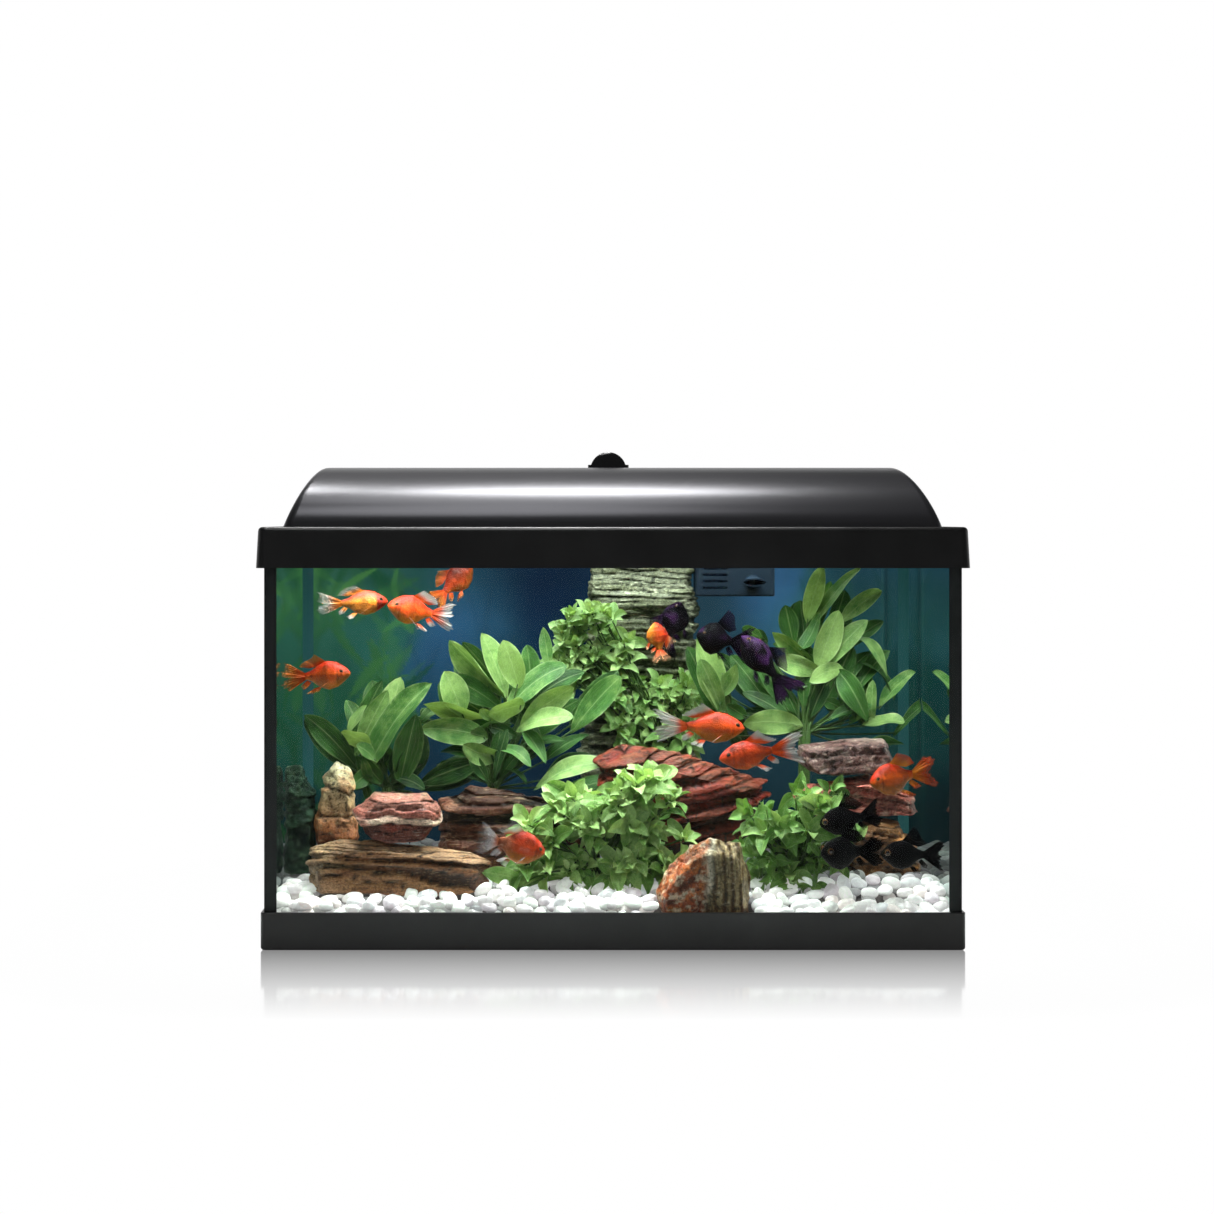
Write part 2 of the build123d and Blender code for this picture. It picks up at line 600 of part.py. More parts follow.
# rocker with a shallow V in its rear face, and its pivot
ROCKER_HALF_WIDTH = 4.6
ROCKER_HALF_HEIGHT = 7.9
PIVOT_HALF_LENGTH = 6.2
with BuildPart() as switch_rocker:
    with BuildSketch(at_x(LAMP_CABLE_X - ROCKER_HALF_WIDTH)):
        with BuildLine():
            Polyline((136.2, SWITCH_Z - ROCKER_HALF_HEIGHT),
                     (142.6, SWITCH_Z - ROCKER_HALF_HEIGHT),
                     (141.7, SWITCH_Z),
                     (142.6, SWITCH_Z + ROCKER_HALF_HEIGHT),
                     (136.2, SWITCH_Z + ROCKER_HALF_HEIGHT), close=True)
        make_face()
    extrude(amount=2 * ROCKER_HALF_WIDTH)
    with BuildSketch(at_x(LAMP_CABLE_X - PIVOT_HALF_LENGTH)):
        discs(1.0, SWITCH_AXIS)
    extrude(amount=2 * PIVOT_HALF_LENGTH)
write(switch_rocker, "switch_rocker")


def write_plug(name, x):
    """Two-pin mains plug hanging pins down on the lead at x."""
    body_bottom, taper_bottom = 30, 34
    pin_length = 19
    pin_offset = 9.4
    with BuildPart() as plug:
        with BuildSketch(at_z(PLUG_TOP_Z)):
            rounded(12, 11, 3, (x, BACK_Y))
        with BuildSketch(at_z(taper_bottom)):
            rounded(27, 13.6, 4, (x, BACK_Y))
        loft()
        with BuildSketch(at_z(body_bottom)):
            rounded(27, 13.6, 4, (x, BACK_Y))
        extrude(amount=taper_bottom - body_bottom)
        with BuildSketch(at_z(body_bottom - pin_length)):
            discs(2, (x - pin_offset, BACK_Y), (x + pin_offset, BACK_Y))
        extrude(amount=pin_length)
        fillet(plug.edges().filter_by(GeomType.CIRCLE).group_by(Axis.Z)[0], radius=0.8)
    write(plug, name)


write_plug("lamp_plug", LAMP_CABLE_X)
write_plug("filter_plug", FILTER_CABLE_X)

# ================================================================ filter
# A compact box filter hung near the water's surface: sponge on the left,
# pump on the right, its outlet facing the front.
FILTER = (104.0, 98.0)      # middle of the box (x, y)
FILTER_SIZE = (64, 36)
FILTER_CORNER = 4
FILTER_WALL = 2
CANISTER_Z = 246
HEAD_Z = 282.4              # underside of the head's plate
PUMP = (118.0, FILTER[1])   # impeller axis (x, y)
SPONGE_X = 87.5
OUTLET = (PUMP[0], 257.8)   # outlet axis (x, z)
DIAL = (84.0, FILTER[1])    # flow dial's axis (x, y)
SHAFT_RADIUS = 1.0

with BuildPart() as filter_canister:
    with BuildSketch(at_z(CANISTER_Z)):
        rounded(*FILTER_SIZE, FILTER_CORNER, FILTER)
    extrude(amount=36.2)
    fillet(filter_canister.faces().sort_by(Axis.Z)[0].edges(), radius=1.6)
    with BuildSketch(at_z(CANISTER_Z + FILTER_WALL)):
        rounded(FILTER_SIZE[0] - 2 * FILTER_WALL, FILTER_SIZE[1] - 2 * FILTER_WALL,
                FILTER_CORNER - FILTER_WALL, FILTER)
    extrude(amount=40, mode=Mode.SUBTRACT)
    # inlet slots through the front wall, over the sponge
    with BuildSketch(at_y(78)):
        with GridLocations(0, 5.2, 1, 5):
            with Locations((SPONGE_X, 263.5)):
                SlotOverall(20, 2.2)
    extrude(amount=-6, mode=Mode.SUBTRACT)
    # clear hole for the outlet's neck
    with BuildSketch(at_y(78)):
        discs(4.7, OUTLET)
    extrude(amount=-6, mode=Mode.SUBTRACT)
write(filter_canister, "filter_canister")

with BuildPart() as filter_sponge:
    with BuildSketch(at_z(248.3)):
        rounded(25, 31, 2.5, (SPONGE_X, FILTER[1]))
    extrude(amount=29.2)
write(filter_sponge, "filter_sponge")

with BuildPart() as filter_head:
    with BuildSketch(at_z(HEAD_Z)):
        rounded(*FILTER_SIZE, FILTER_CORNER, FILTER)
    extrude(amount=2.8)
    fillet(filter_head.faces().sort_by(Axis.Z)[-1].edges(), radius=1.2)
    # pump block below the plate
    with BuildSketch(at_z(252)):
        rounded(30, 30, 3, PUMP)
    extrude(amount=31)
    # boss below the plate for the flow dial
    with BuildSketch(at_z(278.3)):
        discs(4, DIAL)
    extrude(amount=5)
    # impeller chamber, rotor well above it, then the shaft's bore
    for radius, depth in ((9, 11), (5, 25), (SHAFT_RADIUS, 28)):
        with BuildSketch(at_z(251)):
            discs(radius, PUMP)
        extrude(amount=depth, mode=Mode.SUBTRACT)
    # outlet bore towards the front
    with BuildSketch(at_y(82)):
        discs(4.05, OUTLET)
    extrude(amount=-9, mode=Mode.SUBTRACT)
    # spindle well for the flow dial
    with BuildSketch(at_z(279.4)):
        discs(2.05, DIAL)
    extrude(amount=7, mode=Mode.SUBTRACT)
write(filter_head, "filter_head")

IMPELLER_Z = 255.0
with BuildPart() as impeller:
    # disc, blades, hub and rotor, then the bore
    with BuildSketch(at_z(IMPELLER_Z)):
        discs(8, PUMP)
    extrude(amount=1)
    with BuildSketch(at_z(IMPELLER_Z + 0.8)):
        with Locations(PUMP):
            with PolarLocations(4.7, 6):
                Rectangle(6.0, 1.0)
    extrude(amount=5.2)
    with BuildSketch(at_z(IMPELLER_Z)):
        discs(2.6, PUMP)
    extrude(amount=8)
    with BuildSketch(at_z(IMPELLER_Z + 7.5)):
        discs(4.7, PUMP)
    extrude(amount=13)
    with BuildSketch(at_z(IMPELLER_Z - 1)):
        discs(SHAFT_RADIUS + 0.06, PUMP)
    extrude(amount=24, mode=Mode.SUBTRACT)
write(impeller, "impeller")

with BuildPart() as impeller_shaft:
    with BuildSketch(at_z(252.4)):
        discs(SHAFT_RADIUS, PUMP)
    extrude(amount=26.4)
write(impeller_shaft, "impeller_shaft")

# disc below the impeller, with six holes around the shaft's
with BuildPart() as impeller_cover:
    with BuildSketch(at_z(252.2)):
        with Locations(PUMP):
            Circle(8.9)
            Circle(SHAFT_RADIUS, mode=Mode.SUBTRACT)
            with PolarLocations(4.8, 6):
                Circle(1.7, mode=Mode.SUBTRACT)
    extrude(amount=1.8)
write(impeller_cover, "impeller_cover")

# duckbill outlet that swivels in the pump's bore
NECK_REAR_Y = 88.5
COLLAR_REAR_Y = 79.8
COLLAR_FRONT_Y = 76.8
MOUTH_Y = 62.0
NOZZLE_BORE = 3.0           # radius
with BuildPart() as outlet_nozzle:
    with BuildSketch(at_y(NECK_REAR_Y)):
        discs(4.0, OUTLET)
    extrude(amount=NECK_REAR_Y - COLLAR_REAR_Y)
    with BuildSketch(at_y(COLLAR_REAR_Y)):
        discs(6.2, OUTLET)
    extrude(amount=COLLAR_REAR_Y - COLLAR_FRONT_Y)
    with BuildSketch(at_y(COLLAR_FRONT_Y)):
        discs(5.6, OUTLET)
    with BuildSketch(at_y(MOUTH_Y)):
        with Locations(OUTLET):
            Ellipse(10, 3.2)
    loft()
    # round bore, then the flattened passage
    with BuildSketch(at_y(NECK_REAR_Y)):
        discs(NOZZLE_BORE, OUTLET)
    extrude(amount=11.5, mode=Mode.SUBTRACT)
    with BuildSketch(at_y(77.2)):
        discs(NOZZLE_BORE, OUTLET)
    with BuildSketch(at_y(MOUTH_Y - 0.1)):
        with Locations(OUTLET):
            Ellipse(8.7, 2.0)
    loft(mode=Mode.SUBTRACT)
write(outlet_nozzle, "outlet_nozzle")

# spindle, dial and grip bar
with BuildPart() as flow_knob:
    with BuildSketch(at_z(279.8)):
        discs(2.0, DIAL)
    extrude(amount=6)
    with BuildSketch(at_z(285.6)):
        discs(6, DIAL)
    extrude(amount=2)
    with BuildSketch(at_z(287.6)):
        rectangles(10, 2.4, DIAL)
    extrude(amount=3)
write(flow_knob, "flow_knob")

# stem and cup, between the canister's rear wall and the rear pane
CUPS = [(FILTER[0] - 22, 265), (FILTER[0] + 22, 265)]   # (x, z)
CUP_RADIUS = 10
with BuildPart() as suction_cups:
    with BuildSketch(at_y(116.02)):
        discs(4, *CUPS)
    extrude(amount=-2.2)
    with BuildSketch(at_y(118.2)):
        discs(CUP_RADIUS, *CUPS)
    extrude(amount=-2.7)
    # bevel the cups' front rims
    chamfer(suction_cups.edges().filter_by(GeomType.CIRCLE)
            .filter_by(lambda edge: abs(edge.radius - CUP_RADIUS) < 0.1)
            .group_by(Axis.Y)[0],
            length=2.0, length2=3.5)
write(suction_cups, "suction_cups")

# mains lead of the filter: up, over the rear edge and down the back
with BuildPart() as filter_cable:
    with BuildLine() as filter_path:
        FilletPolyline((FILTER_CABLE_X, 109, 285.2), (FILTER_CABLE_X, 109, 305),
                       (FILTER_CABLE_X, BACK_Y, 305),
                       (FILTER_CABLE_X, BACK_Y, PLUG_TOP_Z), radius=6)
    with BuildSketch(Plane(origin=filter_path.line @ 0, z_dir=filter_path.line % 0)):
        Circle(CABLE_RADIUS)
    sweep(path=filter_path.line)
write(filter_cable, "filter_cable")

# ================================================================ rocks and plants
# Each stone or plant is one closed solid: an (x, z) outline at mid depth that
# narrows towards its front and rear faces.
# name: (front y, rear y, scale of the end faces, outline)
FOOT = GRAVEL_TOP + 0.2
ROCKS = {
    "tower_rock": (76, 114, 0.86, [(-17, FOOT), (76, FOOT), (80, 112), (74, 210),
                                   (68, 275), (-15, 275), (-17, 202), (-21, 112)]),
    "log_rock": (-98, -62, 0.8, [(-221, FOOT), (-91, FOOT), (-88, 56), (-104, 63),
                                 (-170, 72), (-200, 72.5), (-221, 66), (-225, 55)]),
    "pink_rock": (-94, -64, 0.8, [(-167, 74), (-135, 74.5), (-126, 84), (-124, 97),
                                  (-135, 108), (-176, 107), (-189, 93), (-181, 79)]),
    "upright_rock": (-58, -32, 0.8, [(-221, FOOT), (-191, FOOT), (-192, 105),
                                     (-196, 124), (-206, 128), (-217, 116), (-221, 97)]),
    "brown_rock": (-45, -21, 0.85, [(-128, FOOT), (-15, FOOT), (-17, 86), (-38, 97),
                                    (-106, 105), (-128, 97)]),
    "red_slate_rock": (-44, 0, 0.85, [(-7, FOOT), (99, FOOT), (119, 91), (118, 111),
                                      (99, 117), (54, 131), (9, 136), (-9, 125)]),
    "split_rock": (-117, -89, 0.82, [(38, 21), (101, 21), (101, 50), (94, 74),
                                     (72, 77), (56, 72), (38, 52), (32, 37)]),
    "upper_slab_rock": (-44, 0, 0.85, [(145, 123), (154, 116.5), (215, 117), (218, 126),
                                       (209, 142), (191, 141), (143, 136)]),
    "lower_slab_rock": (-44, 0, 0.85, [(145, 85), (237, 85), (235, 96), (197, 114),
                                       (144, 105), (137, 94)]),
    "cave_rock": (-50, -8, 0.85, [(176, FOOT), (232, FOOT), (232, 57), (217, 79),
                                  (199, 82), (181, 72)]),
    "moss_rock": (-58, -28, 0.8, [(-244, FOOT), (-224, FOOT), (-224, 100),
                                  (-233, 125), (-244, 122)]),
}
PLANTS = {
    "broadleaf_plant_left": (-26, 24, 0.6, [(-215, FOOT), (-152, FOOT), (-147.5, 153),
                                            (-150, 197), (-204, 198), (-236, 169),
                                            (-229, 134)]),
    "broadleaf_plant_centre": (-19, 28, 0.6, [(-138, FOOT), (-29, FOOT), (-29, 107),
                                              (7, 169), (8, 190), (-38, 224),
                                              (-119, 221), (-143, 184)]),
    "broadleaf_plant_right": (5, 42, 0.6, [(126, FOOT), (166, FOOT), (228, 132),
                                           (244, 175), (212, 277), (150, 277),
                                           (107, 245), (64, 206), (72, 132)]),
    "bush_plant_tower": (44, 72, 0.7, [(-28, 172), (10, 116), (58, 110), (94, 126),
                                       (102, 144), (66, 204), (34, 234), (-12, 234),
                                       (-33, 212)]),
    "bush_plant_front": (-87, -47, 0.7, [(-68, FOOT), (60, FOOT), (60, 85), (29, 108),
                                         (-14, 121), (-49, 112), (-71, 91), (-79, 60)]),
    "bush_plant_right": (-86, -47, 0.7, [(112, FOOT), (166, FOOT), (174, 63),
                                         (170, 100), (155, 124), (114, 124),
                                         (92, 107), (94, 63)]),
}
for name, (front_y, rear_y, end_scale, outline) in (ROCKS | PLANTS).items():
    # sections shrink towards the middle of the outline's foot
    x_mid = (min(x for x, z in outline) + max(x for x, z in outline)) / 2
    z_low = min(z for x, z in outline)
    with BuildPart() as stone:
        for y, scaling in ((front_y, end_scale), ((front_y + rear_y) / 2, 1.0),
                           (rear_y, end_scale)):
            section = [(x_mid + (x - x_mid) * scaling, z_low + (z - z_low) * scaling)
                       for x, z in outline]
            with BuildSketch(at_y(y)):
                with BuildLine():
                    Polyline(*section, close=True)
                make_face()
        loft(ruled=True)
    write(stone, name)

# ================================================================ fish
# (x, y, z, length, height, thickness, heading): heading is the nose's direction
# in degrees from +X towards +Z
ORANGE = [
    (-191, -56, 246, 49, 19, 13, 2), (-144, -40, 239, 51, 23, 13, 168),
    (-120, -18, 259, 43, 21, 12, 45), (-218, -62, 192, 51, 22, 13, 5),
    (69, -62, 154, 63, 24, 14, -3), (106, -96, 138, 58, 22, 14, 188),
    (214, -74, 118, 49, 25, 14, 190), (-73, -110, 73, 51, 25, 14, -15),
    (37, -22, 215, 30, 17, 10, 100),
]
BLACK = [
    (49, 0, 226, 40, 23, 8, 70), (86, -13, 216, 41, 26, 13, 168),
    (117, -34, 199, 55, 23, 13, 130), (173, -97, 90, 44, 22, 12, 192),
    (171, -112, 68, 45, 25, 12, 180), (217, -104, 65, 44, 22, 12, 180),
]
# side view from the nose over the back to the tail and along the belly:
# (fraction of the length, fraction of the height)
FISH_OUTLINE = [(0.5, 0.0), (0.40, 0.24), (0.22, 0.44), (0.0, 0.5), (-0.17, 0.30),
                (-0.27, 0.12), (-0.5, 0.42), (-0.43, 0.0), (-0.5, -0.42),
                (-0.27, -0.12), (-0.1, -0.38), (0.12, -0.5), (0.36, -0.3)]
FLANK_SCALE = 0.45          # the two side faces, relative to the middle section


def fish_section(x, z, length, height, heading):
    """(x, z) outline of a fish, its back kept upwards when it faces left."""
    turn = math.radians(heading)
    upright = -1 if math.cos(turn) < 0 else 1
    points = []
    for along, up in FISH_OUTLINE:
        forward = along * length
        rise = up * height * upright
        points.append((x + forward * math.cos(turn) - rise * math.sin(turn),
                       z + forward * math.sin(turn) + rise * math.cos(turn)))
    return points


for name, shoal in (("orange_goldfish", ORANGE), ("black_goldfish", BLACK)):
    with BuildPart() as fish:
        for x, y, z, length, height, thickness, heading in shoal:
            for offset, scaling in ((-thickness / 2, FLANK_SCALE), (0, 1.0),
                                    (thickness / 2, FLANK_SCALE)):
                section = fish_section(x, z, length * scaling, height * scaling, heading)
                with BuildSketch(at_y(y + offset)):
                    with BuildLine():
                        Polyline(*section, close=True)
                    make_face()
            loft(ruled=True)
    write(fish, name)
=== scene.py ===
"""Looks of a glass aquarium: hood, panes, rockwork, pebbles, plants, goldfish and backdrop.

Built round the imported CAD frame. Metres, +X right, -Y front, +Z up.
"""
import math
import random
from types import SimpleNamespace

import bmesh
import bpy
import numpy as np
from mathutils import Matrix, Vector

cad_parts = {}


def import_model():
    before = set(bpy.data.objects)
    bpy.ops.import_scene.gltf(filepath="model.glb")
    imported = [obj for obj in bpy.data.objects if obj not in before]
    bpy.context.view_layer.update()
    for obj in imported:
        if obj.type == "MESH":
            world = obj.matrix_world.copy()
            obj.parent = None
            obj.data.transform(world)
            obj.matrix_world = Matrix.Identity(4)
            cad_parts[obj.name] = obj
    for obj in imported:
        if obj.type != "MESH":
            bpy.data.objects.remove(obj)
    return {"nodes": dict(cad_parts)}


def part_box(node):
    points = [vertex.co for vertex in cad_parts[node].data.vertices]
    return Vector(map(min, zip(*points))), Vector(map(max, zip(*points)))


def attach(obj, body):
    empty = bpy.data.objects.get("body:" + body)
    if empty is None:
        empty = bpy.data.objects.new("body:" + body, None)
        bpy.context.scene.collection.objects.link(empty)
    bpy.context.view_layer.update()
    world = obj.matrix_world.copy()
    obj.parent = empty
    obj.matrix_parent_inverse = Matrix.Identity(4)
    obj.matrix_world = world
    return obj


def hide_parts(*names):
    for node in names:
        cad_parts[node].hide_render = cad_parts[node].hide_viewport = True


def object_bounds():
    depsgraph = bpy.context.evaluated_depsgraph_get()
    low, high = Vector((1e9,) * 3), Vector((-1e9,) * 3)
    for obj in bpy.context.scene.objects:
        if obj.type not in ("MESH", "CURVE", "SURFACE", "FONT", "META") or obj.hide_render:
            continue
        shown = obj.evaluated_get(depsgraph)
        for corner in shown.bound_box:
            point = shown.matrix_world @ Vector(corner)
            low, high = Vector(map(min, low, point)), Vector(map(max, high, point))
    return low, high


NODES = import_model()["nodes"]
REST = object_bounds()
MM = 0.001
random.seed(7)


def box(node):
    low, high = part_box(node)
    return np.array(low), np.array(high)


BED_LO, BED_HI = box("gravel_bed")
# inner faces of the four panes, as (x, y)
INNER_LO = np.array([box("left_pane")[1][0], box("front_pane")[1][1]])
INNER_HI = np.array([box("right_pane")[0][0], box("rear_pane")[0][1]])


# ------------------------------------------------------------------ colour and noise
def rgb(*channels):
    """sRGB 0..255 to linear."""
    parts = [c / 255.0 for c in channels]
    return np.array([c / 12.92 if c <= 0.04045 else ((c + 0.055) / 1.055) ** 2.4 for c in parts])


def smooth(low, high, x):
    t = np.clip((x - low) / (high - low), 0, 1)
    return t * t * (3 - 2 * t)


def mix(first, second, t):
    t = np.asarray(t)[..., None] if np.ndim(t) else t
    return np.asarray(first) * (1 - t) + np.asarray(second) * t


def palette(stops, t):
    """Colours at t (0..1) along a list of sRGB stops."""
    stops = np.array([rgb(*stop) for stop in stops])
    t = np.clip(np.asarray(t), 0, 0.99999) * (len(stops) - 1)
    index = t.astype(int)
    part = (t - index)[:, None]
    return stops[index] * (1 - part) + stops[np.minimum(index + 1, len(stops) - 1)] * part


def hash_lattice(ix, iy, iz, seed):
    """A repeatable number 0..1 for each lattice point."""
    h = (ix * 374761393 + iy * 668265263 + iz * 1440662683 + seed * 974634777) & 0xFFFFFFFF
    h = ((h ^ (h >> 13)) * 1274126177) & 0xFFFFFFFF
    h = ((h ^ (h >> 15)) * 2246822519) & 0xFFFFFFFF
    return ((h ^ (h >> 16)) & 0xFFFFFFFF) / 4294967295.0


def hash_index(index, seed):
    return hash_lattice(np.asarray(index).astype(np.int64), 3, 11, seed)


def value_noise(pts, seed):
    """Smooth noise, 0..1, on a unit lattice."""
    cell = np.floor(pts).astype(np.int64)
    part = pts - cell
    part = part * part * part * (part * (part * 6 - 15) + 10)
    weights = (1 - part, part)
    total = 0.0
    for dx, dy, dz in np.ndindex(2, 2, 2):
        weight = weights[dx][:, 0] * weights[dy][:, 1] * weights[dz][:, 2]
        total = total + weight * hash_lattice(cell[:, 0] + dx, cell[:, 1] + dy, cell[:, 2] + dz, seed)
    return total


def fbm(pts, octaves, seed):
    """Fractal noise, about -1..1."""
    total, amp, norm = 0.0, 1.0, 0.0
    pts = np.array(pts, float)
    for octave in range(octaves):
        total = total + amp * (2 * value_noise(pts, seed + 31 * octave) - 1)
        norm += amp
        amp *= 0.5
        pts = pts * 2.03 + 17.7
    return total / norm * 1.5


# ------------------------------------------------------------------ shader nodes
class Graph:
    """The node tree of a material or world being wired up."""

    def __init__(self, owner, output):
        self.owner = owner
        owner.use_nodes = True
        self.tree = owner.node_tree
        self.tree.nodes.clear()
        self.out = self.tree.nodes.new(output)

    def add(self, kind, inputs=None, **props):
        """A node with its settings; each input is a value or another node's output."""
        node = self.tree.nodes.new("ShaderNode" + kind)
        for key, value in props.items():
            setattr(node, key, value)
        for key, value in (inputs or {}).items():
            socket = node.inputs[key]
            if isinstance(value, bpy.types.NodeSocket):
                self.tree.links.new(value, socket)
                continue
            if isinstance(value, (tuple, np.ndarray)):
                value = [float(part) for part in value]
                if socket.type == "RGBA" and len(value) == 3:
                    value.append(1.0)
            socket.default_value = value
        return node

    def make(self, kind, **inputs):
        """First output of a new node; an underscore in a keyword stands for a space."""
        return self.add(kind, {k.replace("_", " "): v for k, v in inputs.items()}).outputs[0]

    def principled(self, **inputs):
        return self.make("BsdfPrincipled", **inputs)

    def coords(self, scale=(1, 1, 1), rotation=(0, 0, 0)):
        place = self.add("TexCoord").outputs["Object"]
        return self.make("Mapping", Vector=place, Scale=scale, Rotation=rotation)

    def texture(self, node, vec):
        vec = self.coords() if vec is None else vec
        self.tree.links.new(vec, node.inputs["Vector"])
        return node.outputs

    def noise(self, scale, vec=None, detail=3.0, rough=0.55, distort=0.0):
        node = self.add("TexNoise", {"Scale": scale, "Detail": detail, "Roughness": rough,
                                     "Distortion": distort})
        return self.texture(node, vec)["Fac"]

    def voronoi(self, scale, vec=None):
        return self.texture(self.add("TexVoronoi", {"Scale": scale}), vec)["Distance"]

    def ramp(self, fac, stops):
        node = self.add("ValToRGB", {"Fac": fac})
        elements = node.color_ramp.elements
        while len(elements) < len(stops):
            elements.new(0.5)
        for element, (position, colour) in zip(elements, stops):
            element.position = position
            element.color = [float(part) for part in colour] + [1.0]
        return node.outputs["Color"]

    def remap(self, value, span=(0.3, 0.7), to=(0.0, 1.0)):
        return self.make("MapRange", Value=value, From_Min=span[0], From_Max=span[1],
                         To_Min=to[0], To_Max=to[1])

    def math(self, operation, first, second=0.5):
        return self.add("Math", {0: first, 1: second}, operation=operation).outputs[0]

    def ripple(self, value):
        """Distance from the middle of each unit step."""
        return self.math("ABSOLUTE", self.math("SUBTRACT", self.math("FRACT", value), 0.5))

    def mixc(self, fac, first, second, mode="MIX"):
        return self.add("Mix", {0: fac, 6: first, 7: second},
                        data_type="RGBA", blend_type=mode).outputs[2]

    def times(self, colour, factor):
        return self.mixc(1.0, colour, factor, "MULTIPLY")

    def shade(self, colour, value):
        """Colour multiplied by a grey value."""
        return self.times(colour, self.add("CombineColor", {0: value, 1: value, 2: value}).outputs[0])

    def tinge(self, amount, colour, factor):
        """Colour part of the way to its product with a factor."""
        return self.mixc(amount, colour, self.times(colour, factor))

    def mix_shader(self, fac, first, second):
        return self.add("MixShader", {0: fac, 1: first, 2: second}).outputs[0]

    def bump(self, height, strength, distance, **normal):
        return self.make("Bump", Height=height, Strength=strength, Distance=distance, **normal)

    def attr(self, name):
        return self.add("Attribute", attribute_name=name).outputs["Color"]

    def attr_parts(self, name):
        return self.add("SeparateColor", {"Color": self.attr(name)}).outputs

    def position(self):
        place = self.add("NewGeometry").outputs["Position"]
        return self.add("SeparateXYZ", {0: place}).outputs

    def facing(self):
        return self.add("LayerWeight", {"Blend": 0.5}).outputs["Facing"]

    def done(self, shader):
        self.tree.links.new(shader, self.out.inputs["Surface"])
        return self.owner


def new_material(name):
    return Graph(bpy.data.materials.new(name), "ShaderNodeOutputMaterial")


# ------------------------------------------------------------------ meshes
def set_colour(mesh, name, value):
    value = np.concatenate([value, np.ones((len(value), 1))], 1)
    layer = mesh.attributes.get(name) or mesh.attributes.new(name, "FLOAT_COLOR", "POINT")
    layer.data.foreach_set("color", value.astype(np.float32).ravel())


def finish(name, mesh, mat):
    """Smooth shading, one material and an object for a mesh."""
    mesh.polygons.foreach_set("use_smooth", np.ones(len(mesh.polygons), bool))
    mesh.materials.append(mat)
    ob = bpy.data.objects.new(name, mesh)
    bpy.context.scene.collection.objects.link(ob)
    return ob


def mesh_object(name, verts, faces, mat, **colours):
    """An object from arrays; each keyword names an Nx3 point attribute."""
    corners = faces.shape[1]
    mesh = bpy.data.meshes.new(name)
    mesh.vertices.add(len(verts))
    mesh.vertices.foreach_set("co", verts.astype(np.float32).ravel())
    mesh.loops.add(faces.size)
    mesh.loops.foreach_set("vertex_index", faces.astype(np.int32).ravel())
    mesh.polygons.add(len(faces))
    starts = np.arange(len(faces)) * corners
    mesh.polygons.foreach_set("loop_start", starts.astype(np.int32))
    mesh.update(calc_edges=True)
    mesh.validate()
    for key, value in colours.items():
        set_colour(mesh, key, value)
    return finish(name, mesh, mat)


def place(ob, slot, node):
    """Rides with the tank and stands in for a CAD node."""
    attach(ob, "tank")
    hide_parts(node)


def point_values(mesh, key):
    values = np.zeros(len(mesh.vertices) * 3, np.float32)
    mesh.vertices.foreach_get(key, values)
    return values.reshape(-1, 3).astype(float)


def remeshed(node, voxel, relax):
    """The CAD node's closed solid as an even fine mesh with its corners worn off."""
    source = NODES[node].data.copy()
    bm = bmesh.new()
    bm.from_mesh(source)
    bmesh.ops.remove_doubles(bm, verts=bm.verts, dist=1e-5)
    bm.to_mesh(source)
    bm.free()
    ob = bpy.data.objects.new("tmp_" + node, source)
    bpy.context.scene.collection.objects.link(ob)
    remesh = ob.modifiers.new("remesh", "REMESH")
    remesh.mode = "VOXEL"
    remesh.voxel_size = voxel
    remesh.use_smooth_shade = True
    soften = ob.modifiers.new("relax", "SMOOTH")
    soften.factor = 0.6
    soften.iterations = relax
    depsgraph = bpy.context.evaluated_depsgraph_get()
    mesh = bpy.data.meshes.new_from_object(ob.evaluated_get(depsgraph))
    bpy.data.objects.remove(ob)
    bpy.data.meshes.remove(source)
    return mesh


def icosphere(subdivisions):
    bm = bmesh.new()
    bmesh.ops.create_icosphere(bm, subdivisions=subdivisions, radius=1.0)
    mesh = bpy.data.meshes.new("ico")
    bm.to_mesh(mesh)
    bm.free()
    verts = point_values(mesh, "co")
    faces = np.zeros(len(mesh.polygons) * 3, np.int32)
    mesh.polygons.foreach_get("vertices", faces)
    bpy.data.meshes.remove(mesh)
    return verts, faces.reshape(-1, 3)


def join_parts(parts):
    """Joins tuples of (verts, faces, any per-point values); faces all have as many corners."""
    columns = list(zip(*parts))
    offsets = np.cumsum([0] + [len(verts) for verts in columns[0][:-1]])
    columns[1] = [faces + offset for faces, offset in zip(columns[1], offsets)]
    return [np.concatenate(column) for column in columns]


def grid_points(xs, ys):
    return [values.ravel() for values in np.meshgrid(xs, ys)]


def grid_faces(across, along, wrap=False):
    """Quads of a grid whose points are stored row by row."""
    i, j = grid_points(np.arange(across if wrap else across - 1), np.arange(along - 1))
    after = (i + 1) % across
    row, above = j * across, (j + 1) * across
    return np.stack([row + i, row + after, above + after, above + i], 1)


def turn(pts, first, second, angle):
    """Turns points from the first axis towards the second; angle in radians."""
    a, b = pts[:, first], pts[:, second]
    cos, sin = math.cos(angle), math.sin(angle)
    out = pts.copy()
    out[:, first] = a * cos - b * sin
    out[:, second] = a * sin + b * cos
    return out


